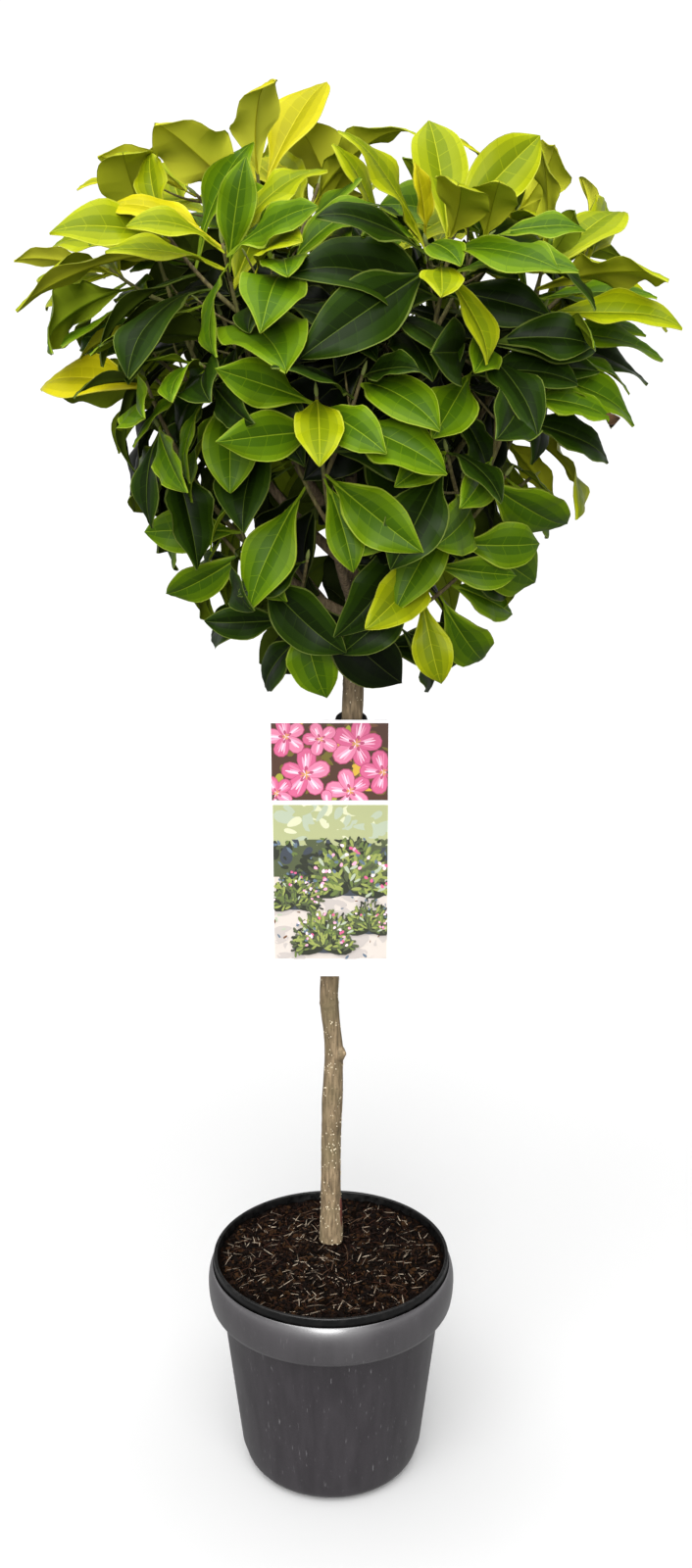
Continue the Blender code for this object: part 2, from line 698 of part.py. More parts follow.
def build_soil(collection):
    """Soil that fills the nursery pot, heaped a little towards the trunk."""
    floor = POT_FLOOR + LINER_WALL + 2 * GAP
    foot = LINER_FOOT_RADIUS - LINER_WALL - 2 * GAP
    shoulder = LINER_SHOULDER_RADIUS - LINER_WALL - 2 * GAP
    flare = (SOIL_EDGE_Z - LINER_SHOULDER_Z) / (LINER_HEIGHT - LINER_LIP_ROUND - LINER_SHOULDER_Z)
    edge = blend(shoulder, LINER_BORE_RADIUS - 2 * GAP, flare)
    rise = SOIL_CROWN_Z - SOIL_EDGE_Z
    heap = [
        (blend(SOIL_CROWN_RADIUS, edge, t), SOIL_EDGE_Z + rise * (1 + math.cos(math.pi * t)) / 2)
        for t in (0.0, 0.35, 0.7, 1.0)
    ]
    profile = [(0.0, SOIL_CROWN_Z), *heap, (shoulder, LINER_SHOULDER_Z), (foot, floor), (0.0, floor)]
    turned("soil", profile, collection, new_material("bark soil", (0.020, 0.013, 0.009), 0.95))


def build_trunk(collection, cutters):
    """Trunk from the flat cut on the soil to its tip in the crown, with a bud scar; returns its cutter."""
    wood = new_material("young bark", (0.155, 0.125, 0.080), 0.8)
    points = [Vector((x, y, z)) for z, x, y, _ in TRUNK]
    radii = [radius for _, _, _, radius in TRUNK]
    trunk = tube("trunk", points, radii, 4, collection, wood)
    centre, radius = trunk_at(KNOT_Z)
    scar = bmesh.new()
    bmesh.ops.create_icosphere(scar, subdivisions=1, radius=KNOT_RADIUS)
    place = Matrix.Translation(centre + Vector((*KNOT_SHIFT, 0.0)) * radius)
    stretch = Matrix.Diagonal((1.0, 1.0, KNOT_STRETCH, 1.0))
    bmesh.ops.transform(scar, matrix=place @ stretch, verts=scar.verts)
    mesh = bpy.data.meshes.new("bud scar")
    scar.to_mesh(mesh)
    scar.free()
    knot = add_object("bud scar", mesh, cutters)
    join = trunk.modifiers.new("Join", "BOOLEAN")
    join.operation = "UNION"
    join.object = knot
    apply_modifiers(trunk)
    bpy.data.objects.remove(knot)
    longer = [*points, points[-1] + (points[-1] - points[-2]).normalized() * GAP]
    wider = [radius + GAP for radius in (*radii, radii[-1])]
    sleeve = tube("trunk sleeve", longer, wider, 4, cutters)
    sleeve.display_type = "WIRE"
    return sleeve, wood


def build_bough(name, bough, sleeve, collection, material):
    obj = tube(name, bough.points, bough.radii(), 2, collection, material)
    cut(obj, sleeve)
    apply_modifiers(obj)


def build_leaf(leaf, collection):
    rings = leaf.rings()
    mesh = bpy.data.meshes.new("leaf")
    mesh.from_pydata([point for ring in rings for point in ring], [], ring_faces(rings))
    return add_object("leaf", mesh, collection)


def build_mass(name, mass, limbs, sleeve, collection, material):
    """One leaf mass: its stem with side shoots and leaves, joined by one union."""
    obj = tube(name, limbs[0].points, limbs[0].radii(), 1, collection, material)
    if not mass.bough_share:
        cut(obj, sleeve)
    growth = new_collection(f"{name} growth", helper=True)
    for limb in limbs:
        if limb is not limbs[0]:
            tube("shoot", limb.points, limb.radii(), 0, growth)
        for leaf in limb.leaves:
            build_leaf(leaf, growth)
    if mass.name == FRUIT_MASS:
        build_fruit(limbs[0], growth)
    join = obj.modifiers.new("Join", "BOOLEAN")
    join.operation = "UNION"
    join.operand_type = "COLLECTION"
    join.collection = growth
    apply_modifiers(obj)
    for helper in list(growth.objects):
        bpy.data.objects.remove(helper)
    bpy.data.collections.remove(growth)
    return obj


def build_fruit(stem, collection):
    """Spindle-shaped seed cone on the stem's tip, its lower end sunk in the wood."""
    cone = bmesh.new()
    bmesh.ops.create_uvsphere(cone, u_segments=6, v_segments=5, radius=1.0)
    size = Matrix.Diagonal((FRUIT_RADIUS, FRUIT_RADIUS, FRUIT_LENGTH / 2, 1.0))
    place = fruit_frame(stem) @ Matrix.Translation((0.0, 0.0, FRUIT_LENGTH * 0.46))
    bmesh.ops.transform(cone, matrix=place @ size, verts=cone.verts)
    mesh = bpy.data.meshes.new("seed cone")
    cone.to_mesh(mesh)
    cone.free()
    add_object("seed cone", mesh, collection)


def build_label(collection):
    """Hang label: an upright card with round corners."""
    half_width, half_height = LABEL_WIDTH / 2, LABEL_HEIGHT / 2
    corners = []
    for right, up, turn in ((1, 1, 0), (-1, 1, 90), (-1, -1, 180), (1, -1, 270)):
        centre = (right * (half_width - LABEL_CORNER), up * (half_height - LABEL_CORNER))
        corners += arc(centre, LABEL_CORNER, turn, turn + 90, 3)
    outline = bpy.data.curves.new("label outline", "CURVE")
    outline.dimensions = "2D"
    outline.fill_mode = "BOTH"
    outline.extrude = LABEL_THICKNESS / 2
    spline = outline.splines.new("POLY")
    spline.points.add(len(corners) - 1)
    for knot, (x, y) in zip(spline.points, corners):
        knot.co = (x, y, 0.0, 1.0)
    spline.use_cyclic_u = True
    guide = add_object("label outline", outline, collection)
    mesh = mesh_of(guide)
    bpy.data.objects.remove(guide)
    label = add_object("label", mesh, collection, new_material("printed card", (0.75, 0.70, 0.72), 0.35))
    label.rotation_euler.x = math.radians(90)
    label.location = (LABEL_SHIFT, label_y(), LABEL_TOP_Z - half_height)


def build_strap(collection, cutters):
    """Rubber ring round the trunk with a flat pad at the front that carries the label."""
    half = STRAP_HEIGHT / 2
    outer = STRAP_BORE + STRAP_THICKNESS
    section = [(STRAP_BORE, half), (outer, half), (outer, -half), (STRAP_BORE, -half), (STRAP_BORE, half)]
    rubber = new_material("black rubber", (0.015, 0.015, 0.016), 0.6)
    strap = turned("strap", section, collection, rubber, STRAP_STEPS)
    strap.location = strap_place()
    pad = bmesh.new()
    bmesh.ops.create_cube(pad, size=1.0)
    size = Matrix.Diagonal((STRAP_PAD_WIDTH, STRAP_THICKNESS, STRAP_PAD_HEIGHT, 1.0))
    bmesh.ops.transform(pad, matrix=size, verts=pad.verts)
    mesh = bpy.data.meshes.new("strap pad")
    pad.to_mesh(mesh)
    pad.free()
    block = add_object("strap pad", mesh, cutters)
    block.display_type = "WIRE"
    block.location = strap_place() - Vector((0.0, outer - STRAP_THICKNESS / 2, STRAP_PAD_DROP))
    join = strap.modifiers.new("Join", "BOOLEAN")
    join.operation = "UNION"
    join.object = block


def main():
    clear_scene()
    plant = new_collection("standard magnolia in pot")
    cutters = new_collection("cutters", helper=True)
    build_pot(plant)
    build_liner(plant)
    build_soil(plant)
    pots = list(plant.objects)
    sleeve, wood = build_trunk(plant, cutters)
    leaf_green = new_material("magnolia leaf", (0.070, 0.160, 0.020), 0.45)
    for mass, _, bough, limbs in grow_crown():
        if bough:
            build_bough(f"bough_{mass.name}", bough, sleeve, plant, wood)
        build_mass(f"foliage_{mass.name}", mass, limbs, sleeve, plant, leaf_green)
    build_label(plant)
    build_strap(plant, cutters)
    for obj in [*plant.objects, *cutters.objects]:
        if obj not in pots:
            obj.location.z -= RULE_DROP


if __name__ == "__main__":
    main()
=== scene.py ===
"""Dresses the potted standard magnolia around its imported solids.

Metres, +Z up and -Y to the front, in the frame of the solids. Each class is one sub-assembly with its
sizes. The crown grows by the rule and the draws of the solids, and then on to finer twigs within the
same reach.
"""

from __future__ import annotations

import logging
from collections.abc import Sequence
from dataclasses import dataclass, field
from enum import Enum, IntEnum
from math import cos, exp, hypot, log, pi, radians, sin, sqrt, tan, tau
from random import Random

import bpy
import numpy as np
from mathutils import Matrix, Vector, noise
from mathutils.bvhtree import BVHTree

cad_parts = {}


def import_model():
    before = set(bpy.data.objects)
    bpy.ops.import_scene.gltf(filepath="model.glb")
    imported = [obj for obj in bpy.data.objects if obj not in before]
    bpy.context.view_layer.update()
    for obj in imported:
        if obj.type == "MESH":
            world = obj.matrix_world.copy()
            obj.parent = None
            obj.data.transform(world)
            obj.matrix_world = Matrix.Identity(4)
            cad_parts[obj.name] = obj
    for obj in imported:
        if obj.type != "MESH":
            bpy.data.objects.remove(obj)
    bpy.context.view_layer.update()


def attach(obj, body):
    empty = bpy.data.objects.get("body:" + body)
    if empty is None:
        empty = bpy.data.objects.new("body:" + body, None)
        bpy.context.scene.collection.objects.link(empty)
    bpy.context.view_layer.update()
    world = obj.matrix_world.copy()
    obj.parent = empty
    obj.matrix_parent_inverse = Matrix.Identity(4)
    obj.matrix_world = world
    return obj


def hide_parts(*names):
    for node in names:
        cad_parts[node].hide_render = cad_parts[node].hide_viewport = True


Pair = tuple[float, float]
Triple = tuple[float, float, float]
Quad = tuple[float, float, float, float]
Rows = Sequence[Sequence[float]]
Socket = bpy.types.NodeSocket
Material = bpy.types.Material

LOG = logging.getLogger("standard_magnolia")
MM = 0.001
UP = Vector((0.0, 0.0, 1.0))
ASKEW = (0.31, 0.95, 0.12)  # a direction that no limb or stem runs along
GAP = 0.3 * MM
GOLDEN_ANGLE = radians(137.5)
RULE_DROP = 0.009  # heights of stem, label and crown count from this far under the floor
BODY = "root"
MIX_BELOW, MIX_ABOVE, MIX_RESULT = 6, 7, 2  # numbers of the colour sockets on a Mix node

# ------------------------ finishes


def linear(code: str) -> Quad:
    """Turns an sRGB hex colour into a linear one.

    Args:
        code: Colour such as "#4a494b".

    Returns:
        Red, green, blue and an alpha of one.
    """
    channels = [int(code[i : i + 2], 16) / 255 for i in (1, 3, 5)]
    red, green, blue = (c / 12.92 if c <= 0.04045 else ((c + 0.055) / 1.055) ** 2.4 for c in channels)
    return (red, green, blue, 1.0)


def mixed(first: str, second: str, share: float) -> str:
    """The sRGB hex colour at a share of the way from the first to the second."""
    pairs = [(int(first[i : i + 2], 16), int(second[i : i + 2], 16)) for i in (1, 3, 5)]
    return "#" + "".join(f"{round(a + (b - a) * share):02x}" for a, b in pairs)


def cells(size_mm: float) -> float:
    """Texture scale, in cells a metre, that makes one cell this many millimetres."""
    return 1000.0 / size_mm


def add_node(
    tree: bpy.types.NodeTree,
    kind: str,
    settings: dict[str | int, object] | None = None,
    links: dict[str | int, Socket] | None = None,
) -> bpy.types.Node:
    """Adds a node with its settings and links.

    Args:
        tree: Node tree that it goes into.
        kind: Type name of the node.
        settings: Values by attribute name, or by the name or number of an input. A colour ramp's places
            and colours, hex or linear, go under "stops".
        links: Output sockets by the name or number of the input they feed.

    Returns:
        The new node.
    """
    node = tree.nodes.new(kind)
    for key, value in (settings or {}).items():
        if key == "stops":
            ends = node.color_ramp.elements
            while len(ends) < len(value):
                ends.new(0.5)
            for end, (place, colour) in zip(ends, value):
                end.position = place
                end.color = linear(colour) if isinstance(colour, str) else colour
        elif isinstance(key, str) and hasattr(node, key):
            setattr(node, key, value)
        else:
            node.inputs[key].default_value = value
    for key, socket in (links or {}).items():
        tree.links.new(socket, node.inputs[key])
    return node


@dataclass(frozen=True)
class Finish:
    """A surface of one plain colour: what it is made of tells its gloss.

    Typical values are an IOR of 1.45 to 1.55 for plastics, wax and wood, and no metal anywhere on the plant.
    """

    name: str
    colour: str
    roughness: float = 0.5
    ior: float = 1.5
    coat: float = 0.0
    coat_roughness: float = 0.2
    specular: float = 0.5

    def make(self) -> Material:
        """Makes the material.

        Returns:
            The material, with the finish's plain values on its shader and the nodes of its kind.
        """
        material = bpy.data.materials.new(self.name)
        material.use_nodes = True
        shader = material.node_tree.nodes["Principled BSDF"]
        plain = {
            "Base Color": linear(self.colour),
            "Roughness": self.roughness,
            "IOR": self.ior,
            "Metallic": 0.0,
            "Coat Weight": self.coat,
            "Coat Roughness": self.coat_roughness,
            "Specular IOR Level": self.specular,
        }
        for name, value in plain.items():
            shader.inputs[name].default_value = value
        self.vary(Skin(material.node_tree, shader))
        return material

    def vary(self, skin: Skin) -> None:
        """Leaves the surface plain: a finish with a pattern adds it here."""


@dataclass(frozen=True)
class Skin:
    """The nodes that vary a surface, and the shader that they feed."""

    tree: bpy.types.NodeTree
    shader: bpy.types.Node

    def feed(self, name: str, value: Socket) -> None:
        """Feeds one of the shader's inputs."""
        self.tree.links.new(value, self.shader.inputs[name])

    def pattern(
        self,
        size_mm: float,
        stretch: Triple = (1.0, 1.0, 1.0),
        detail: float = 3.0,
        kind: str = "ShaderNodeTexNoise",
    ) -> Socket:
        """Adds a pattern in the object's own coordinates.

        Args:
            size_mm: Size of one cell.
            stretch: Scale along each axis: below one draws the pattern out.
            detail: How many finer layers lie in it.
            kind: Noise or Voronoi texture.

        Returns:
            The socket with the pattern's strength, from 0 to 1.
        """
        place = add_node(self.tree, "ShaderNodeTexCoord").outputs["Object"]
        drawn = add_node(self.tree, "ShaderNodeMapping", {"Scale": stretch}, {"Vector": place})
        settings = {"Scale": cells(size_mm), "Detail": detail}
        return add_node(self.tree, kind, settings, {"Vector": drawn.outputs["Vector"]}).outputs[0]


@dataclass(frozen=True)
class MouldedPlastic(Finish):
    """Injection-moulded polypropylene in a dark grey, with a satin skin.

    The mould leaves a fine grain that spreads the highlight, and handling leaves upright scuffs and
    small pale scratches that catch the light.
    """

    scuffed: str = "#302c30"
    scratched: str = "#8d8c8e"
    grain_mm: float = 1.6  # the real grain is 0.3 mm, too fine to show
    scuff_mm: float = 9.0
    scratch_mm: float = 7.0
    patch_mm: float = 35.0

    def vary(self, skin: Skin) -> None:
        """Adds the scuffs, scratches and grain.

        Args:
            skin: Skin that they go on.
        """
        tree = skin.tree
        scuffs = skin.pattern(self.scuff_mm, (1.0, 1.0, 0.12), 6.0)
        stops = ((0.35, self.colour), (0.8, self.scuffed))
        base = add_node(tree, "ShaderNodeValToRGB", {"stops": stops}, {"Fac": scuffs})
        scratches = skin.pattern(self.scratch_mm, (3.4, 3.4, 0.45), 3.0)
        few = {"From Min": 0.66, "From Max": 0.76, "To Max": 0.4}
        sparse = add_node(tree, "ShaderNodeMapRange", few, {"Value": scratches})
        settings = {"data_type": "RGBA", MIX_ABOVE: linear(self.scratched)}
        links = {0: sparse.outputs["Result"], MIX_BELOW: base.outputs["Color"]}
        skin.feed("Base Color", add_node(tree, "ShaderNodeMix", settings, links).outputs[MIX_RESULT])
        patches = skin.pattern(self.patch_mm, (1.0, 1.0, 0.6), 4.0)
        low, high = self.roughness - 0.06, self.roughness + 0.1
        settings = {"From Min": 0.3, "From Max": 0.7, "To Min": low, "To Max": high}
        handled = add_node(tree, "ShaderNodeMapRange", settings, {"Value": patches})
        skin.feed("Roughness", handled.outputs["Result"])
        grain = skin.pattern(self.grain_mm, detail=1.0)
        settings = {"Strength": 0.25, "Distance": 0.15 * MM}
        skin.feed("Normal", add_node(tree, "ShaderNodeBump", settings, {"Height": grain}).outputs["Normal"])


@dataclass(frozen=True)
class DustyPlastic(Finish):
    """Thermoformed black polyethylene or moulded rubber, with a little compost dust in patches."""

    dust: str = "#2c2825"
    dust_mm: float = 6.0
    grain_mm: float = 3.0

    def vary(self, skin: Skin) -> None:
        """Adds the dust, which is matt, and a soft grain.

        Args:
            skin: Skin that they go on.
        """
        tree = skin.tree
        dust = skin.pattern(self.dust_mm, detail=5.0)
        stops = ((0.5, self.colour), (0.85, self.dust))
        base = add_node(tree, "ShaderNodeValToRGB", {"stops": stops}, {"Fac": dust})
        skin.feed("Base Color", base.outputs["Color"])
        low, high = self.roughness, self.roughness + 0.25
        settings = {"From Min": 0.3, "From Max": 0.7, "To Min": low, "To Max": high}
        matt = add_node(tree, "ShaderNodeMapRange", settings, {"Value": dust})
        skin.feed("Roughness", matt.outputs["Result"])
        grain = skin.pattern(self.grain_mm, detail=2.0)
        settings = {"Strength": 0.2, "Distance": 0.1 * MM}
        skin.feed("Normal", add_node(tree, "ShaderNodeBump", settings, {"Height": grain}).outputs["Normal"])


@dataclass(frozen=True)
class BarkSkin(Finish):
    """Young smooth magnolia bark: a thin cork skin over green, stretched lengthwise as the stem thickens.

    It reads as a matt grey-brown with fine upright streaks, greener and darker patches and a soft grain.
    """

    light: str = "#a08b6d"
    dark: str = "#453826"
    green: str = "#675d41"
    streak_mm: float = 2.2
    patch_mm: float = 26.0
    speck_mm: float = 1.8

    def vary(self, skin: Skin) -> None:
        """Adds the streaks, the green patches and the dark specks.

        Args:
            skin: Skin that they go on.
        """
        tree = skin.tree
        streaks = skin.pattern(self.streak_mm, (1.0, 1.0, 0.16), 5.0)
        stops = ((0.25, self.dark), (0.5, self.colour), (0.78, self.light))
        bark = add_node(tree, "ShaderNodeValToRGB", {"stops": stops}, {"Fac": streaks}).outputs["Color"]
        patches = skin.pattern(self.patch_mm, (1.0, 1.0, 0.5), 3.0)
        specks = skin.pattern(self.speck_mm, detail=2.0)
        for over, settings, colour in (
            (patches, {"From Min": 0.42, "From Max": 0.66, "To Max": 0.55}, self.green),
            (specks, {"From Min": 0.62, "From Max": 0.7, "To Max": 0.6}, self.dark),
        ):
            share = add_node(tree, "ShaderNodeMapRange", settings, {"Value": over}).outputs["Result"]
            settings = {"data_type": "RGBA", MIX_ABOVE: linear(colour)}
            mix = add_node(tree, "ShaderNodeMix", settings, {0: share, MIX_BELOW: bark})
            bark = mix.outputs[MIX_RESULT]
        skin.feed("Base Color", bark)
        settings = {"From Min": 0.3, "From Max": 0.7, "To Min": 0.68, "To Max": 0.88}
        matt = add_node(tree, "ShaderNodeMapRange", settings, {"Value": patches})
        skin.feed("Roughness", matt.outputs["Result"])
        settings = {"Strength": 0.6, "Distance": 0.4 * MM}
        skin.feed("Normal", add_node(tree, "ShaderNodeBump", settings, {"Height": streaks}).outputs["Normal"])


@dataclass(frozen=True)
class CrumblyCompost(Finish):
    """Moist peat and composted bark: near black where it is wet, with reddish-brown crumbs, and no gloss."""

    crumb: str = "#110804"
    pale: str = "#26150c"
    crumb_mm: float = 3.5
    grain_mm: float = 1.5

    def vary(self, skin: Skin) -> None:
        """Adds the crumbs and a gritty relief.

        Args:
            skin: Skin that they go on.
        """
        crumbs = skin.pattern(self.crumb_mm, detail=6.0)
        stops = ((0.42, self.colour), (0.6, self.crumb), (0.8, self.pale))
        base = add_node(skin.tree, "ShaderNodeValToRGB", {"stops": stops}, {"Fac": crumbs})
        skin.feed("Base Color", base.outputs["Color"])
        grit = skin.pattern(self.grain_mm, detail=3.0, kind="ShaderNodeTexVoronoi")
        settings = {"Strength": 0.9, "Distance": 1.2 * MM}
        bump = add_node(skin.tree, "ShaderNodeBump", settings, {"Height": grit})
        skin.feed("Normal", bump.outputs["Normal"])


@dataclass(frozen=True)
class CoatedCard(Finish):
    """Offset-printed card under a clear laminate: the board's faint tooth shows under an even gloss."""

    shade: str = "#f3f2f4"
    tooth_mm: float = 2.5  # the real tooth is 0.1 mm, drawn coarser to show at all

    def vary(self, skin: Skin) -> None:
        """Adds the faint tooth.

        Args:
            skin: Skin that it goes on.
        """
        tooth = skin.pattern(self.tooth_mm, detail=4.0)
        stops = ((0.3, self.shade), (0.6, self.colour))
        base = add_node(skin.tree, "ShaderNodeValToRGB", {"stops": stops}, {"Fac": tooth})
        skin.feed("Base Color", base.outputs["Color"])
        settings = {"Strength": 0.15, "Distance": 0.05 * MM}
        bump = add_node(skin.tree, "ShaderNodeBump", settings, {"Height": tooth})
        skin.feed("Normal", bump.outputs["Normal"])


class Zone(IntEnum):
    """Parts of a leaf that have a colour of their own."""

    INNER = 0
    MIDDLE = 1
    OUTER = 2
    RIB = 3
    VEIN = 4
    RIM = 5
    UNDER = 6
    WITHERED = 7


@dataclass(frozen=True)
class LeafColours:
    """Colours of one leaf, beside the midrib and near the edge, and how pale its down is, which on the
    brighter tints is partly painted light shining through the leaf.

    The colours of its other parts follow from them.
    """

    inner: str
    outer: str
    # how far the underside is drawn to the pale colour: partly real down, partly painted light shining
    # through the leaf
    down: float

    rib_pale = ("#b4b45c", 0.20)
    rim_pale = ("#c3c46a", 0.34)
    down_and_glow_pale = "#d6d846"

    def paler(self, pale: tuple[str, float]) -> str:
        """The outer colour drawn to a paler one."""
        return mixed(self.outer, *pale)


class Tint(Enum):
    """The foliage's greens, from the near-black leaves deep inside the crown, which are painted shade, to the
    young ones in full light.

    Magnolia leaves have a waxy skin over the green, and are paler and yellower the younger they are; the
    paler, yellower tints on the leaves at the crown's skin and top are partly painted light as well.
    """

    # The two darkest tints, for leaves deep inside the crown, are painted shade; the brighter tints are
    # partly painted light.
    DEEP = LeafColours("#060c02", "#0c1602", 0.10)
    GREEN = LeafColours("#122003", "#233704", 0.20)
    FRESH = LeafColours("#375306", "#5a7506", 0.35)
    BRIGHT = LeafColours("#657406", "#8e9608", 0.50)
    LIME = LeafColours("#7c8208", "#9f9e0c", 0.70)
    YOUNG = LeafColours("#8e8a08", "#aaa310", 0.85)
    OLIVE = LeafColours("#757424", "#8f8b38", 0.60)
    YELLOW = LeafColours("#969109", "#b4aa12", 0.30)

    def finishes(self) -> list[Finish]:
        """Makes up the finishes: a waxed skin with a broad satin gloss, and a matt downy underside whose
        paleness is partly painted light shining through the leaf.

        Returns:
            A finish for each zone, in the zones' order.
        """
        colours: LeafColours = self.value
        waxed = {
            Zone.INNER: colours.inner,
            Zone.MIDDLE: mixed(colours.inner, colours.outer, 0.5),
            Zone.OUTER: colours.outer,
            Zone.RIB: colours.paler(colours.rib_pale),
            Zone.VEIN: mixed(colours.inner, colours.outer, 0.65),
            Zone.RIM: colours.paler(colours.rim_pale),
        }
        name = self.name.lower()
        made = [Finish(f"waxy_leaf_{name}_{z.name.lower()}", c, 0.42, 1.17) for z, c in waxed.items()]
        # The underside is drawn paler the brighter the tint: partly pale down, partly painted light shining
        # through the leaf.
        downy = colours.paler((colours.down_and_glow_pale, colours.down))
        made.append(Finish(f"downy_leaf_{name}_under", downy, 0.8, 1.2))
        made.append(Finish("withered_leaf_tip", "#4a3218", 0.8, 1.4))
        return made


# The finishes that are used as they are
POT_FINISH = MouldedPlastic("anthracite_matt_polypropylene", "#221e22", 0.42, 1.55, 0.5, 0.35, 0.5)
BAND_FINISH = MouldedPlastic(
    *("anthracite_satin_polypropylene", "#242024", 0.42, 1.62, 1.0, 0.25, 1.0),
    scuffed="#2e2a2e",
    scratched="#6c6a6c",
)
LINER_FINISH = DustyPlastic(
    "black_thermoformed_polyethylene", "#060606", 0.22, 1.51, specular=0.35, dust="#141211"
)
STRAP_FINISH = DustyPlastic("black_moulded_rubber", "#141415", 0.6, 1.52, dust="#26231f")
COMPOST_FINISH = CrumblyCompost("moist_bark_compost", "#050302", 0.98, 1.2, specular=0.15)
BARK_FINISH = BarkSkin("young_magnolia_bark", "#75644b", 0.8, 1.45)
TWIG_FINISH = BarkSkin(
    "magnolia_twig_bark", "#5a4f2d", 0.7, 1.45, light="#857a48", dark="#33291a", green="#5d672a"
)
CORK_FINISH = Finish("cork_pore", "#dbceb0", 0.85, 1.45)  # loose cork, which scatters the light
SCAR_FINISH = Finish("healed_wood_scar", "#4a1f14", 0.75, 1.45)  # callus over bare wood, matt and red-brown
BUD_FINISH = Finish("downy_leaf_bud", "#7f8a48", 0.85, 1.4)  # silky hairs make it pale and matt
CONE_FINISH = Finish("ripe_seed_cone", "#7a5f17", 0.75, 1.45)  # dry woody scales
SEED_FINISH = Finish("seed_cone_scale_tip", "#a98d22", 0.7, 1.45)
CARD_FINISH = CoatedCard("laminated_card", "#fbfafb", 0.38, 1.5, coat=0.35, coat_roughness=0.12)


# ------------------------ meshes


def add_object(name: str, data: bpy.types.ID) -> bpy.types.Object:
    """Adds an object to the scene.

    Args:
        name: Its name.
        data: Its mesh, light or camera.

    Returns:
        The new object.
    """
    obj = bpy.data.objects.new(name, data)
    bpy.context.scene.collection.objects.link(obj)
    return obj


def grid_faces(rows: int, columns: int, closed: bool = False) -> np.ndarray:
    """Four-sided faces of a grid of points, counted row by row.

    Args:
        rows: Number of rows.
        columns: Number of points in a row.
        closed: Whether each row closes on itself.

    Returns:
        Array of faces, a row's faces together.
    """
    across = columns if closed else columns - 1
    row, column = np.meshgrid(np.arange(rows - 1), np.arange(across), indexing="ij")
    after, first, second = (column + 1) % columns, row * columns, (row + 1) * columns
    corners = (first + column, first + after, second + after, second + column)
    return np.stack([c.ravel() for c in corners], axis=1)


def closed_skin(
    rings: np.ndarray, ends: Rows, turned_over: bool = False
) -> tuple[np.ndarray, list[list[int]]]:
    """Joins rings of points to a closed body with one more point at each end.

    Args:
        rings: Array of rings, points and coordinates.
        ends: The point before the first ring and the one after the last.
        turned_over: Whether the rings run so that the faces have to be turned over to look outward.

    Returns:
        Its points and its faces.
    """
    rows, sides = rings.shape[:2]
    count, top = rows * sides, (rows - 1) * sides
    faces = grid_faces(rows, sides, closed=True).tolist()
    faces += [[count, (k + 1) % sides, k] for k in range(sides)]
    faces += [[count + 1, top + k, top + (k + 1) % sides] for k in range(sides)]
    if turned_over:
        faces = [face[::-1] for face in faces]
    return np.concatenate([rings.reshape(-1, 3), np.array(ends, dtype=float)]), faces


@dataclass
class Shape:
    """Points and faces gathered for one piece, with a finish number for each face."""

    drop: float = 0.0  # how far the finished piece is brought down
    points: list[np.ndarray] = field(default_factory=list)
    faces: list[list[int]] = field(default_factory=list)
    zones: list[int] = field(default_factory=list)
    count: int = 0

    def add(
        self, points: np.ndarray, faces: Sequence[Sequence[int]] | np.ndarray, zones: int | np.ndarray = 0
    ) -> None:
        """Adds a closed form.

        Args:
            points: Its points, one a row.
            faces: Its faces, as numbers of its own points.
            zones: Finish number of all its faces, or of each.
        """
        listed = faces.tolist() if isinstance(faces, np.ndarray) else faces
        self.faces += [[index + self.count for index in face] for face in listed]
        self.zones += [int(zones)] * len(listed) if np.isscalar(zones) else np.asarray(zones).tolist()
        self.points.append(points)
        self.count += len(points)

    def add_tube(self, points: Sequence[Vector], radii: Sequence[float], sides: int, zone: int = 0) -> None:
        """Adds a round closed tube along a line, with a radius at each of its points."""
        self.add(*closed_skin(sweep(points, radii, sides), (points[0], points[-1])), zone)

    def add_slab(self, rings: Sequence[Rows], zone: int = 0) -> None:
        """Adds a form through rings of points, with a flat face over the first ring and over the last.

        Args:
            rings: Rings of points, counter-clockwise to someone who looks at the first ring's face.
            zone: Finish number.
        """
        count = len(rings[0])
        last = count * (len(rings) - 1)
        faces = [list(range(count)), [last + k for k in range(count)][::-1]]
        faces += grid_faces(len(rings), count, closed=True)[:, ::-1].tolist()
        self.add(np.array(rings, dtype=float).reshape(-1, 3), faces, zone)

    def piece(self, name: str, finishes: Sequence[Material], smooth: bool = True) -> bpy.types.Object:
        """Makes the piece and lets it ride on the plant.

        Args:
            name: Name of the piece.
            finishes: Materials by finish number.
            smooth: Whether its faces are shaded smooth.

        Returns:
            The new object.
        """
        mesh = bpy.data.meshes.new(name)
        mesh.from_pydata((np.concatenate(self.points) - (0.0, 0.0, self.drop)).tolist(), [], self.faces)
        used = sorted(set(self.zones))
        for number in used:
            mesh.materials.append(finishes[number])
        mesh.polygons.foreach_set("material_index", np.searchsorted(used, self.zones).astype(np.int32))
        mesh.polygons.foreach_set("use_smooth", [smooth] * len(self.faces))
        mesh.update()
        obj = add_object(name, mesh)
        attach(obj, BODY)
        LOG.info("%s: %d faces", name, len(self.faces))
        return obj


def sweep(points: Sequence[Vector], radii: Sequence[float], sides: int) -> np.ndarray:
    """Rings of points round a line, without twist.

    Args:
        points: Points along the line.
        radii: Radius at each of them.
        sides: Points in a ring.

    Returns:
        Array of rings, points and coordinates.
    """
    path = np.array(points, dtype=float)
    tangents = np.gradient(path, axis=0)
    tangents /= np.linalg.norm(tangents, axis=1, keepdims=True)
    normal = np.cross(tangents[0], ASKEW)
    angles = tau * np.arange(sides) / sides
    rings = []
    for place, tangent, radius in zip(path, tangents, radii):
        normal = normal - tangent * normal.dot(tangent)
        normal /= np.linalg.norm(normal)
        across = np.cross(tangent, normal)
        rings.append(place + radius * (np.outer(np.cos(angles), normal) + np.outer(np.sin(angles), across)))
    return np.array(rings)


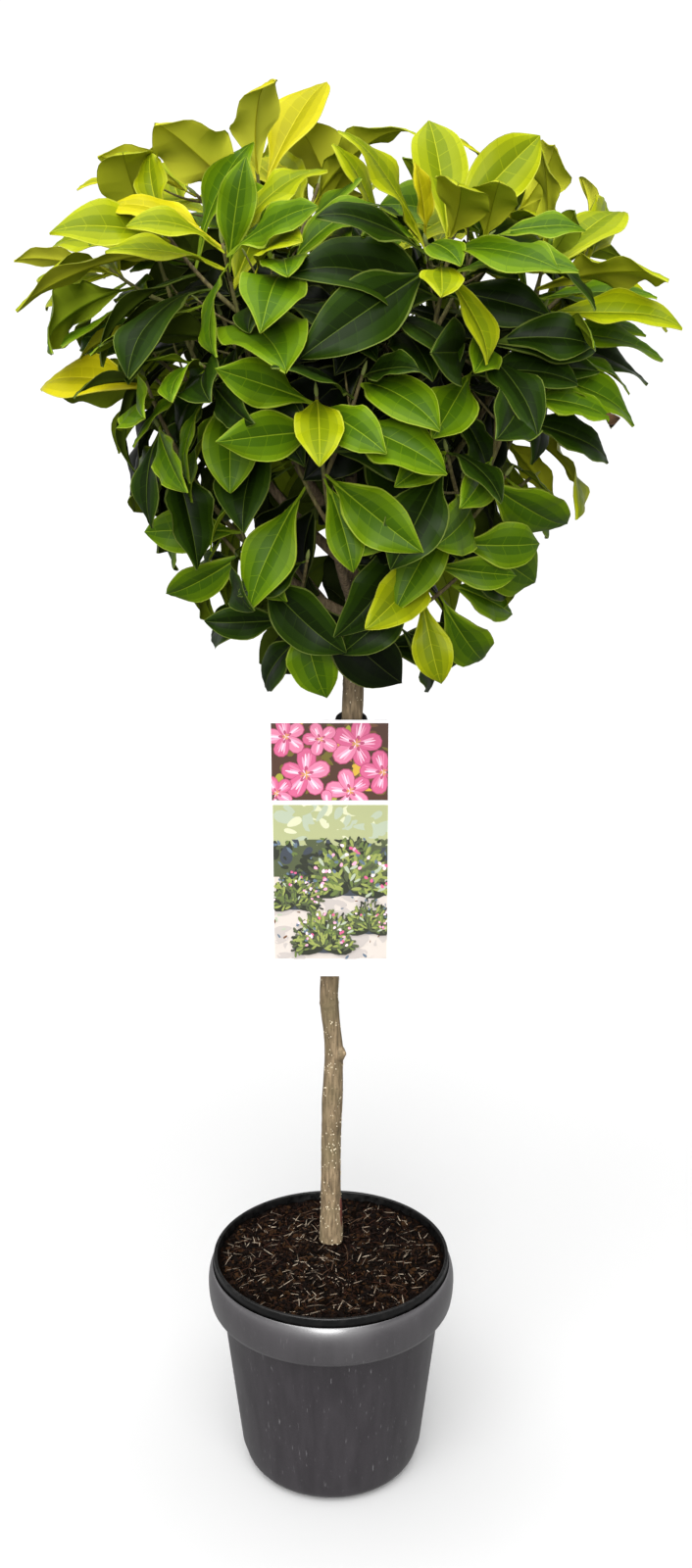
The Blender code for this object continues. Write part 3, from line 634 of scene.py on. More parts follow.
def smoothed(rows: Rows, steps: int) -> list[list[float]]:
    """Rows of a table on a smooth curve through the given ones.

    Args:
        rows: Rows of numbers.
        steps: How many rows come out for each one that went in.

    Returns:
        The finer table.
    """
    table = [np.array(row, dtype=float) for row in rows]
    padded = [2 * table[0] - table[1], *table, 2 * table[-1] - table[-2]]
    fine = []
    for a, b, c, d in zip(padded, padded[1:], padded[2:], padded[3:]):
        for t in (k / steps for k in range(steps)):
            bend = (2 * a - 5 * b + 4 * c - d) * t**2 + (3 * (b - c) + d - a) * t**3
            fine.append((b + ((c - a) * t + bend) / 2).tolist())
    return [*fine, table[-1].tolist()]


def turned_shape(profile: Sequence[Pair], steps: int) -> Shape:
    """A body of revolution about the upright axis.

    Args:
        profile: Radius and height from the inner bottom over the rim to the outer one, both ends on the axis.
        steps: Number of steps round it.

    Returns:
        Its shape.
    """
    angles = tau * np.arange(steps) / steps
    ring = np.stack([np.cos(angles), np.sin(angles)], axis=1)
    rows = [np.column_stack([ring * radius, np.full(steps, height)]) for radius, height in profile[1:-1]]
    ends = [(0.0, 0.0, profile[0][1]), (0.0, 0.0, profile[-1][1])]
    shape = Shape()
    shape.add(*closed_skin(np.array(rows), ends, turned_over=True))
    return shape


def arc(centre: Pair, radii: Pair, first: float, last: float, steps: int) -> list[Pair]:
    """Points of an elliptic arc in a plane, from the first angle to the last in degrees."""
    angles = [radians(first + (last - first) * k / steps) for k in range(steps + 1)]
    return [(centre[0] + radii[0] * cos(a), centre[1] + radii[1] * sin(a)) for a in angles]


def rounded_rectangle(width: float, height: float, corner: float, steps: int) -> list[Pair]:
    """Outline of a rectangle with round corners, counter-clockwise about its middle.

    Args:
        width: Its whole width.
        height: Its whole height.
        corner: Radius of the corners.
        steps: Number of steps in a corner.

    Returns:
        Points of the outline.
    """
    points: list[Pair] = []
    for right, up, turn in ((1, 1, 0), (-1, 1, 90), (-1, -1, 180), (1, -1, 270)):
        centre = (right * (width / 2 - corner), up * (height / 2 - corner))
        points += arc(centre, (corner, corner), turn, turn + 90, steps)
    return points


# ------------------------ growth


def blend(a: float, b: float, share: float) -> float:
    """The number at a share of the way from a to b."""
    return a + (b - a) * share


def along(table: Rows, height: float) -> list[float]:
    """Reads a table between its rows.

    Args:
        table: Rows that each begin with their height, lowest first.
        height: Height to read it at.

    Returns:
        The row at that height, or the nearest end row beyond the table.
    """
    for low, high in zip(table, table[1:]):
        if height <= high[0]:
            share = max(0.0, (height - low[0]) / (high[0] - low[0]))
            return [blend(a, b, share) for a, b in zip(low, high)]
    return list(table[-1])


def curve_points(start: Vector, middle: Vector, end: Vector, steps: int) -> list[Vector]:
    """Points on a curve that leaves start towards middle and comes to end from it."""
    shares = [i / steps for i in range(steps + 1)]
    return [start * (1 - t) ** 2 + middle * (2 * t * (1 - t)) + end * t**2 for t in shares]


def point_on(points: Sequence[Vector], share: float) -> tuple[Vector, Vector]:
    """Finds a place on a line of evenly spaced points.

    Args:
        points: Points of the line.
        share: Share of its length.

    Returns:
        The place, and the line's direction there.
    """
    place = min(share, 0.9999) * (len(points) - 1)
    index = int(place)
    a, b = points[index], points[index + 1]
    return a.lerp(b, place - index), (b - a).normalized()


def cut_line(points: Sequence[Vector], first: float, last: float) -> list[Vector]:
    """The stretch of a line between two shares of it."""
    count = max(3, round((last - first) * (len(points) - 1)) + 1)
    return [point_on(points, blend(first, last, i / (count - 1)))[0] for i in range(count)]


def side_of(axis: Vector, angle: float) -> Vector:
    """A direction square to the axis, turned about it by the angle."""
    return Matrix.Rotation(angle, 3, axis) @ axis.cross(Vector(ASKEW)).normalized()


def tube_rings(points: Sequence[Vector], radii: Sequence[float], sides: int = 5) -> list[list[Vector]]:
    """Rings of points round a line, for testing what a limb would touch.

    Args:
        points: Points along the line.
        radii: Radius at each of them.
        sides: Points in a ring.

    Returns:
        The rings.
    """
    rings = []
    for index, (point, radius) in enumerate(zip(points, radii)):
        axis = (points[min(index + 1, len(points) - 1)] - points[max(index - 1, 0)]).normalized()
        rings.append([point + side_of(axis, tau * k / sides) * radius for k in range(sides)])
    return rings


def touch_tree(rings: Sequence[Sequence[Vector]]) -> BVHTree:
    """Makes the search tree of a closed skin.

    Args:
        rings: Rings of points, the last of which may be a single tip.

    Returns:
        The tree, for testing what the skin overlaps.
    """
    starts = [sum(len(ring) for ring in rings[:i]) for i in range(len(rings))]
    faces = [tuple(reversed(range(len(rings[0]))))]
    for low, high, ring, after in zip(starts, starts[1:], rings, rings[1:]):
        for k in range(len(ring)):
            n = (k + 1) % len(ring)
            end = (high,) if len(after) == 1 else (high + n, high + k)
            faces.append((low + k, low + n, *end))
    if len(rings[-1]) > 1:
        faces.append(tuple(starts[-1] + k for k in range(len(rings[-1]))))
    return BVHTree.FromPolygons([point for ring in rings for point in ring], faces)


@dataclass(frozen=True)
class TrunkCourse:
    """The trunk's course from its cut on the compost to its tip: height, shift right, shift back, radius."""

    rows: tuple[Quad, ...] = (
        *((0.2163, 0.0, 0.022, 0.0106), (0.2215, 0.0, 0.022, 0.0105), (0.233, 0.0, 0.0215, 0.0103)),
        *((0.26, -0.0003, 0.0205, 0.0093), (0.31, 0.0, 0.019, 0.0087), (0.355, 0.0012, 0.017, 0.009)),
        *((0.385, 0.0022, 0.016, 0.0084), (0.406, 0.003, 0.015, 0.0081), (0.43, 0.0012, 0.0142, 0.0076)),
        *((0.455, -0.001, 0.0133, 0.0077), (0.48, -0.0004, 0.0125, 0.0082), (0.54, 0.004, 0.0105, 0.008)),
        *((0.62, 0.0108, 0.0078, 0.0079), (0.69, 0.0168, 0.0052, 0.008), (0.73, 0.019, 0.004, 0.0085)),
        *((0.77, 0.0196, 0.0034, 0.0078), (0.82, 0.0196, 0.0024, 0.0066), (0.87, 0.0186, 0.0012, 0.0054)),
        *((0.92, 0.0168, 0.0004, 0.0042), (0.96, 0.015, 0.0, 0.0034)),
    )

    def at(self, height: float) -> tuple[Vector, float]:
        """Centre and radius of the trunk at a height."""
        z, x, y, radius = along(self.rows, height)
        return Vector((x, y, z)), radius

    @property
    def tip(self) -> float:
        """Height of the trunk's tip."""
        return self.rows[-1][0]


TRUNK = TrunkCourse()


@dataclass(frozen=True)
class LabelPlace:
    """Where the hang label and its strap are, and their sizes."""

    width: float = 0.099
    height: float = 0.2245
    thickness: float = 0.0009
    corner: float = 0.004
    top: float = 0.7155
    shift: float = 0.0002
    space: float = 0.004
    strap_z: float = 0.7065
    bore: float = 0.0112
    wall: float = 0.0022
    strap_height: float = 0.0065
    pad: Pair = (0.02, 0.012)
    pad_drop: float = 0.0015

    @property
    def strap(self) -> Vector:
        """Centre of the strap's ring, whose back lies against the bark."""
        centre, radius = TRUNK.at(self.strap_z)
        return centre - Vector((0.0, self.bore - radius - GAP, 0.0))

    @property
    def y(self) -> float:
        """Mid plane of the label, in front of the strap's pad."""
        return self.strap.y - self.bore - self.wall - GAP - self.thickness / 2


LABEL = LabelPlace()


@dataclass(frozen=True)
class CrownForm:
    """The crown's axis, how far a leaf may reach at each height, and what draws its leaves."""

    axis_x: float = 0.014
    outline: tuple[Pair, ...] = (
        *((0.708, 0.06), (0.735, 0.085), (0.79, 0.125), (0.84, 0.155)),
        *((0.9, 0.185), (0.96, 0.222), (1.005, 0.25), (1.095, 0.254)),
        *((1.13, 0.225), (1.17, 0.17), (1.198, 0.115)),
    )
    hang_below: float = 0.95
    stand_above: float = 1.11
    draw_own: float = 0.85
    draw_up: Pair = (0.3, -0.8)
    draw_out: Pair = (0.25, 0.45)
    light_axis: float = 0.25
    light_up: Pair = (0.75, 0.45)
    light_out: Pair = (0.55, 0.95)

    def outward(self, point: Vector) -> Vector:
        """Level direction away from the crown's axis."""
        return Vector((point.x - self.axis_x, point.y, 0.0)).normalized()

    def reach_share(self, point: Vector) -> float:
        """How far out a point lies, as a share of the crown's reach at its height."""
        reach = along(self.outline, max(point.z, self.outline[0][0]))[1]
        return hypot(point.x - self.axis_x, point.y) / reach

    def inside(self, point: Vector, share: float = 1.0, ceiling: float = 1.198) -> bool:
        """Whether a point lies within this share of the crown's reach, and below the ceiling."""
        return self.outline[0][0] <= point.z <= ceiling and self.reach_share(point) <= share

    def hang_at(self, height: float) -> float:
        """How far a leaf rooted at this height hangs: 0 near the top of the crown, 1 low down."""
        return min(1.0, max(0.0, (self.stand_above - height) / (self.stand_above - self.hang_below)))

    def leaf_direction(self, root: Vector, axis: Vector, turn: float, spread: float, lift: float) -> Vector:
        """Finds the way a leaf points: spread from its shoot, drawn outward, and hanging low in the crown.

        Args:
            root: Where it leaves its shoot.
            axis: Direction of the shoot there.
            turn: Angle about the shoot.
            spread: Angle from the shoot.
            lift: How much it is drawn up.

        Returns:
            Its direction.
        """
        own = axis * cos(spread) + side_of(axis, turn) * sin(spread)
        hang = self.hang_at(root.z)
        drawn = self.outward(root) * blend(*self.draw_out, hang) + UP * (blend(*self.draw_up, hang) + lift)
        return (own * self.draw_own + drawn).normalized()

    def leaf_frame(self, root: Vector, direction: Vector, axis: Vector, roll: float) -> Matrix:
        """Sets up a leaf's frame: +X along it and +Z out of its upper side, which turns to the light.

        Args:
            root: Where it leaves its shoot.
            direction: The way it points.
            axis: Direction of the shoot there.
            roll: Angle about its own direction.

        Returns:
            The frame.
        """
        hang = self.hang_at(root.z)
        upper = axis * self.light_axis + UP * blend(*self.light_up, hang)
        upper = upper + self.outward(root) * blend(*self.light_out, hang)
        upper = (upper - direction * upper.dot(direction)).normalized()
        upper = Matrix.Rotation(roll, 3, direction) @ upper
        frame = Matrix((direction, upper.cross(direction), upper)).transposed().to_4x4()
        return Matrix.Translation(root) @ frame


CROWN = CrownForm()


@dataclass(frozen=True)
class Mass:
    """One leaf mass: bearing and reach of its tip from the crown's axis, its height, and where it forks."""

    name: str
    bearing: float
    reach: float
    height: float
    fork: float
    bough_share: float = 0.4
    shoots: int = 4


MASSES = (
    Mass("front_right", 308.0, 0.12, 1.096, 0.876),
    Mass("front_left", 228.0, 0.13, 1.085, 0.862),
    Mass("right", 352.0, 0.148, 1.07, 0.848),
    Mass("left", 176.0, 0.148, 1.092, 0.836),
    Mass("top_left", 172.0, 0.068, 1.136, 0.91, 0.34),
    Mass("back_right", 38.0, 0.142, 1.098, 0.866),
    Mass("back", 88.0, 0.115, 1.095, 0.888),
    Mass("back_left", 134.0, 0.142, 1.1, 0.854),
    Mass("waist_front", 262.0, 0.15, 0.985, 0.808),
    Mass("waist_left", 204.0, 0.162, 0.99, 0.796),
    Mass("waist_right", 318.0, 0.16, 0.98, 0.788),
    Mass("waist_back_right", 16.0, 0.156, 0.98, 0.802),
    Mass("waist_back", 74.0, 0.152, 0.98, 0.792),
    Mass("waist_back_left", 134.0, 0.156, 0.98, 0.782),
    Mass("skirt_left", 222.0, 0.106, 0.88, 0.754, 0.0, 3),
    Mass("skirt_right", 308.0, 0.11, 0.875, 0.766, 0.0, 3),
    Mass("skirt_back", 96.0, 0.106, 0.875, 0.76, 0.0, 3),
    Mass("leader", 330.0, 0.03, 1.075, 0.0, 0.0),
)


@dataclass
class Leaf:
    """A placed leaf: its frame, size and bend."""

    frame: Matrix
    length: float
    width: float
    bend: float

    root_radius = 0.0009
    thickness_share = 0.0125
    sections = ((0.32, 0.74), (0.66, 1.0))

    def spine(self, share: float) -> Vector:
        """Place on the midrib, in the leaf's frame."""
        turn = self.bend * share / 2
        return Vector((cos(turn), 0.0, -sin(turn))) * (self.length * share)

    def rings(self, clearance: float) -> list[list[Vector]]:
        """Three-sided sections, for testing what the leaf would touch.

        Args:
            clearance: How much room there is round them.

        Returns:
            The sections from the stalk to the tip.
        """
        thickness = self.length * self.thickness_share + clearance * 2
        root = self.root_radius
        rings = [[Vector((0.0, root, root / 2)), Vector((0.0, -root, root / 2)), Vector((0.0, 0.0, -root))]]
        for share, width_share in self.sections:
            half = Vector((0.0, (self.width + clearance * 2) * width_share / 2, 0.0))
            keel = Vector((sin(self.bend * share), 0.0, cos(self.bend * share))) * thickness
            rings.append([self.spine(share) + half, self.spine(share) - half, self.spine(share) - keel])
        rings.append([self.spine(1.0)])
        return [[self.frame @ point for point in ring] for ring in rings]

    @property
    def tip(self) -> Vector:
        """Place of the leaf's tip."""
        return self.frame @ self.spine(1.0)

    @property
    def middle(self) -> Vector:
        """Place of the leaf's middle."""
        return self.frame @ self.spine(0.5)


@dataclass
class Limb:
    """A tapering stretch of wood with the leaves that grow on it."""

    points: list[Vector]
    root_radius: float
    tip_radius: float
    leaves: list[Leaf] = field(default_factory=list)

    def radii(self, extra: float = 0.0) -> list[float]:
        """Radius at each point, with this much room round it."""
        last = len(self.points) - 1
        return [blend(self.root_radius, self.tip_radius, i / last) + extra for i in range(last + 1)]

    def finer(self, steps: int) -> tuple[list[Vector], list[float]]:
        """Points and radii of the limb, this many times finer and smooth."""
        rows = smoothed([(*point, radius) for point, radius in zip(self.points, self.radii())], steps)
        return [Vector(row[:3]) for row in rows], [row[3] for row in rows]


class Space:
    """What is already grown, each with a sphere round it, so that nothing new touches it."""

    def __init__(self) -> None:
        """Starts with nothing grown."""
        self.taken: list[tuple[BVHTree, Vector, float]] = []

    def add(self, tree: BVHTree, middle: Vector, reach: float) -> None:
        """Takes up the space of a form."""
        self.taken.append((tree, middle, reach))

    def add_tube(self, points: Sequence[Vector], radii: Sequence[float], clearance: float) -> None:
        """Takes up the space of a limb, with room round it."""
        wide = [radius + clearance for radius in radii]
        reach = (points[0] - points[-1]).length * 0.55 + max(wide)
        self.add(touch_tree(tube_rings(points, wide)), points[0].lerp(points[-1], 0.5), reach)

    def take(self, tree: BVHTree, middle: Vector, reach: float) -> bool:
        """Takes up the space of a form, if it touches nothing that is grown.

        Args:
            tree: Its skin.
            middle: Middle of the sphere round it.
            reach: Radius of that sphere.

        Returns:
            Whether it was free.
        """
        near = (other for other, centre, radius in self.taken if (middle - centre).length < reach + radius)
        if any(tree.overlap(other) for other in near):
            return False
        self.add(tree, middle, reach)
        return True


@dataclass(frozen=True)
class LeafHabit:
    """How leaves sit on a limb: their size, spread, tries and spacing."""

    length: float = 0.102
    width_share: float = 0.6
    neck: float = 0.22
    bend: float = 32.0
    spread: Pair = (84.0, 36.0)
    tries: int = 9
    loose: Pair = (0.25, 0.14)
    lift: Pair = (-0.35, 0.25)
    roll: Pair = (0.15, 0.4)
    size_spread: Pair = (0.88, 1.12)
    size_loss: Pair = (1.06, 0.25)
    width_spread: Pair = (0.86, 1.1)
    bend_spread: Pair = (0.3, 1.7)
    grown: float = 1.04
    young: Pair = (0.6, 0.65)
    reach: float = 0.62
    clearance: float = 0.9 * MM
    tip: float = 0.985
    crowding: float = 1.7
    share: float = 1.0
    ceiling: float = 1.198


@dataclass(frozen=True)
class ShootHabit:
    """How side shoots leave the limb that carries them."""

    length: float = 0.09
    root_radius: float = 0.0025
    tip_radius: float = 0.0021
    steps: int = 3
    tries: int = 8
    loose: Pair = (0.2, 0.25)
    spread: Pair = (0.75, 1.1)
    loss: float = 0.2
    heading: Triple = (0.65, 0.85, 0.25)
    lift: float = 0.45
    neck: float = 0.3
    reach: float = 0.6
    margin: float = 0.04


@dataclass
class Growth:
    """Grows the crown: first as the solids do, draw for draw, then on to finer twigs and smaller leaves."""

    seed: int = 8300
    limb_steps: int = 12
    limb_bend: float = 0.74
    limb_rise: float = 0.34
    bough_radii: Pair = (0.0046, 0.0031)
    leader_radius: float = 0.0031
    stem_tip_radius: float = 0.0021
    shoot_stretch: Pair = (0.16, 0.72)
    least_leaves: int = 2
    stem_leaves: tuple[float, int] = (0.25, 8)
    shoot_leaves: tuple[float, int] = (0.35, 5)
    leaf: LeafHabit = LeafHabit()
    shoot: ShootHabit = ShootHabit()
    small_leaf: LeafHabit = LeafHabit(length=0.08, clearance=0.15 * MM, tries=7, share=0.9, ceiling=1.15)
    twig: ShootHabit = ShootHabit(length=0.045, root_radius=0.0014, tip_radius=0.001, margin=0.02, tries=5)
    twig_shares: tuple[float, ...] = (0.15, 0.4, 0.65, 0.85)
    twig_leaves: tuple[float, int] = (0.35, 4)
    filling: tuple[float, int] = (0.12, 7)
    fruit_mass: str = "left"
    fruit_length: float = 0.027
    fruit_radius: float = 0.0043
    space: Space = field(default_factory=Space)

    def limb_line(self, mass: Mass) -> list[Vector]:
        """Draws the whole limb of a mass: out first, then up.

        Args:
            mass: The mass.

        Returns:
            Points from the trunk's centre to the tip.
        """
        bearing = radians(mass.bearing)
        x, y = mass.reach * cos(bearing), mass.reach * sin(bearing)
        tip = Vector((CROWN.axis_x + x, y, mass.height))
        if not mass.fork:
            top = TRUNK.at(TRUNK.tip)[0]
            return curve_points(top, top.lerp(tip, 0.5), tip, self.limb_steps)
        fork = TRUNK.at(mass.fork)[0]
        bend = fork.lerp(tip, self.limb_bend)
        bend.z = blend(fork.z, tip.z, self.limb_rise)
        return curve_points(fork, bend, tip, self.limb_steps)

    def grow_leaf(
        self, rng: Random, habit: LeafHabit, limb: Limb, share: float, turn: float, spread: float, size: float
    ) -> Leaf | None:
        """Grows one leaf, tried at ever looser angles until it is inside the crown and clear of all else.

        Args:
            rng: The mass's own draws.
            habit: How leaves of this kind sit.
            limb: Limb that carries it.
            share: Place on the limb.
            turn: Angle about the limb.
            spread: Angle from the limb.
            size: Length before it strays.

        Returns:
            The leaf, or None where there is no room.
        """
        root, axis = point_on(limb.points, share)
        for attempt in range(habit.tries):
            loose = habit.loose[0] + habit.loose[1] * attempt
            own_turn = turn + rng.uniform(-1.0, 1.0) * loose
            own_spread = spread + rng.uniform(-0.5, 0.5) * loose
            lift = rng.uniform(*habit.lift) * loose
            direction = CROWN.leaf_direction(root, axis, own_turn, own_spread, lift)
            roll = rng.gauss(0.0, habit.roll[0] + habit.roll[1] * loose)
            frame = CROWN.leaf_frame(root, direction, axis, roll)
            loss = habit.size_loss[0] - habit.size_loss[1] * loose
            length = size * rng.uniform(*habit.size_spread) * loss
            width = length * habit.width_share * rng.uniform(*habit.width_spread)
            leaf = Leaf(frame, length, width, radians(habit.bend * rng.uniform(*habit.bend_spread)))
            rings = leaf.rings(habit.clearance)
            points = [point for ring in rings[1:] for point in ring]
            if not all(CROWN.inside(point, habit.share, habit.ceiling) for point in points):
                continue
            neck = [a.lerp(b, habit.neck) for a, b in zip(rings[0], rings[1])]
            tree = touch_tree([neck, *rings[1:]])
            middle = frame @ Vector((length / 2, 0.0, 0.0))
            if self.space.take(tree, middle, length * habit.reach):
                return leaf
        return None

    def grow_leaves(self, rng: Random, habit: LeafHabit, limb: Limb, first: float, count: int) -> None:
        """Grows leaves in a spiral, closer towards the limb's tip, where they crowd into a rosette.

        Args:
            rng: The mass's own draws.
            habit: How leaves of this kind sit.
            limb: Limb that carries them.
            first: Share of the limb where they begin.
            count: How many are tried.
        """
        turn = rng.uniform(0.0, tau)
        for index in range(count):
            rank = index / (count - 1)
            share = blend(first, habit.tip, 1 - (1 - rank) ** habit.crowding)
            size = habit.length * (habit.grown - habit.young[1] * max(0.0, rank - habit.young[0]))
            spread = radians(blend(*habit.spread, rank))
            leaf = self.grow_leaf(rng, habit, limb, share, turn, spread, size)
            if leaf:
                limb.leaves.append(leaf)
            turn += GOLDEN_ANGLE

    def grow_shoot(
        self, rng: Random, habit: ShootHabit, stem: Limb, share: float, turn: float
    ) -> Limb | None:
        """Grows a side shoot that leaves its stem and curves up.

        Args:
            rng: The mass's own draws.
            habit: How shoots of this kind grow.
            stem: Limb that carries it.
            share: Place on the stem.
            turn: Angle about the stem.

        Returns:
            The shoot, or None where something is in its way.
        """
        root, axis = point_on(stem.points, share)
        for attempt in range(habit.tries):
            stray = rng.uniform(-1.0, 1.0) * (habit.loose[0] + habit.loose[1] * attempt)
            length = habit.length * rng.uniform(*habit.spread) * (1.0 - habit.loss * share)
            along_stem, away, out = habit.heading
            heading = axis * along_stem + side_of(axis, turn + stray) * away + CROWN.outward(root) * out
            heading.normalize()
            bend = root + heading * length / 2
            tip = bend + (heading + UP * habit.lift).normalized() * length / 2
            shoot = Limb(curve_points(root, bend, tip, habit.steps), habit.root_radius, habit.tip_radius)
            stretch = curve_points(root.lerp(bend, habit.neck), bend, tip, habit.steps)
            tree = touch_tree(tube_rings(stretch, shoot.radii(self.leaf.clearance)))
            if not CROWN.inside(tip + CROWN.outward(tip) * habit.margin):
                continue
            middle = root.lerp(tip, 0.5)
            if self.space.take(tree, middle, length * habit.reach):
                return shoot
        return None

    def grow_limb(self, mass: Mass) -> tuple[Limb | None, Limb]:
        """Grows the wood that a mass hangs on, from one line.

        Args:
            mass: The mass.

        Returns:
            Its bough, if it has one, and the stem that goes on from it.
        """
        line = self.limb_line(mass)
        bough = None
        start, root_radius = 0.0, self.bough_radii[0] if mass.fork else self.leader_radius
        if mass.bough_share:
            bough = Limb(cut_line(line, 0.0, mass.bough_share), root_radius, self.bough_radii[1])
            start = mass.bough_share + GAP / sum((b - a).length for a, b in zip(line, line[1:]))
            root_radius = self.bough_radii[1]
            self.space.add_tube(bough.points, bough.radii(), self.leaf.clearance)
        stem = Limb(cut_line(line, start, 1.0), root_radius, self.stem_tip_radius)
        self.space.add_tube(stem.points, stem.radii(), self.leaf.clearance)
        return bough, stem

    def keep_label_free(self) -> None:
        """Takes up the space of the label and its strap."""
        half = LABEL.width / 2 + LABEL.space
        back = LABEL.strap.y + LABEL.bore + LABEL.wall
        corners = [
            (LABEL.shift - half, LABEL.y - LABEL.space),
            (LABEL.shift + half, LABEL.y - LABEL.space),
            (LABEL.shift + half, LABEL.y + LABEL.space),
            (LABEL.strap.x + LABEL.bore, back),
            (LABEL.strap.x - LABEL.bore, back),
            (LABEL.shift - half, LABEL.y + LABEL.space),
        ]
        heights = (LABEL.top - LABEL.height, LABEL.top + LABEL.space)
        rings = [[Vector((x, y, z)) for x, y in corners] for z in heights]
        self.space.add(touch_tree(rings), Vector((LABEL.shift, LABEL.y, LABEL.top)), LABEL.height)

    def fruit_frame(self, stem: Limb) -> Matrix:
        """Frame of the fruit on a stem's tip: +Z along it, more upright than the stem."""
        tip, axis = point_on(stem.points, 1.0)
        aim = (axis + UP * 0.5).normalized()
        return Matrix.Translation(tip) @ aim.to_track_quat("Z", "Y").to_matrix().to_4x4()

    def run(self) -> list[Sprays]:
        """Grows the whole crown.

        Returns:
            Each mass with its bough, its limbs as the solids have them, and its finer twigs.
        """
        self.keep_label_free()
        low = CROWN.outline[0][0]
        rows = [TRUNK.at(blend(low, TRUNK.tip, i / self.limb_steps)) for i in range(self.limb_steps + 1)]
        self.space.add_tube(*zip(*rows), self.leaf.clearance)
        grown = []
        for number, mass in enumerate(MASSES):
            bough, stem = self.grow_limb(mass)
            grown.append(Sprays(mass, Random(self.seed + number), bough, [stem]))
            if mass.name == self.fruit_mass:
                frame = self.fruit_frame(stem)
                ends = [frame @ Vector((0.0, 0.0, self.fruit_length * t)) for t in (0.15, 0.6, 1.05)]
                self.space.add_tube(ends, [self.fruit_radius] * len(ends), self.leaf.clearance)
        for sprays in grown:
            turn = sprays.rng.uniform(0.0, tau)
            for k in range(sprays.mass.shoots):
                share = blend(*self.shoot_stretch, k / (sprays.mass.shoots - 1))
                shoot = self.grow_shoot(sprays.rng, self.shoot, sprays.limbs[0], share, turn)
                if shoot:
                    sprays.limbs.append(shoot)
                turn += GOLDEN_ANGLE
        for sprays in grown:
            self.grow_leaves(sprays.rng, self.leaf, sprays.limbs[0], *self.stem_leaves)
        for sprays in grown:
            for shoot in sprays.limbs[1:]:
                self.grow_leaves(sprays.rng, self.leaf, shoot, *self.shoot_leaves)
            kept = [shoot for shoot in sprays.limbs[1:] if len(shoot.leaves) >= self.least_leaves]
            sprays.limbs[1:] = kept
        for sprays in grown:
            self.grow_on(sprays)
        return grown

    def grow_on(self, sprays: Sprays) -> None:
        """Carries a mass to finer twigs, and fills the room that is left along its limbs with smaller leaves.

        Args:
            sprays: The mass as it has grown so far.
        """
        rng = sprays.rng
        for limb in sprays.limbs:
            turn = rng.uniform(0.0, tau)
            for share in self.twig_shares:
                twig = self.grow_shoot(rng, self.twig, limb, share, turn)
                turn += GOLDEN_ANGLE
                if not twig:
                    continue
                self.grow_leaves(rng, self.small_leaf, twig, *self.twig_leaves)
                if twig.leaves:
                    sprays.twigs.append(twig)
            self.grow_leaves(rng, self.small_leaf, limb, *self.filling)


@dataclass
class Sprays:
    """One mass as it has grown: its bough, the limbs that the solids have too, and the finer twigs."""

    mass: Mass
    rng: Random
    bough: Limb | None
    limbs: list[Limb]
    twigs: list[Limb] = field(default_factory=list)


# ------------------------ crown


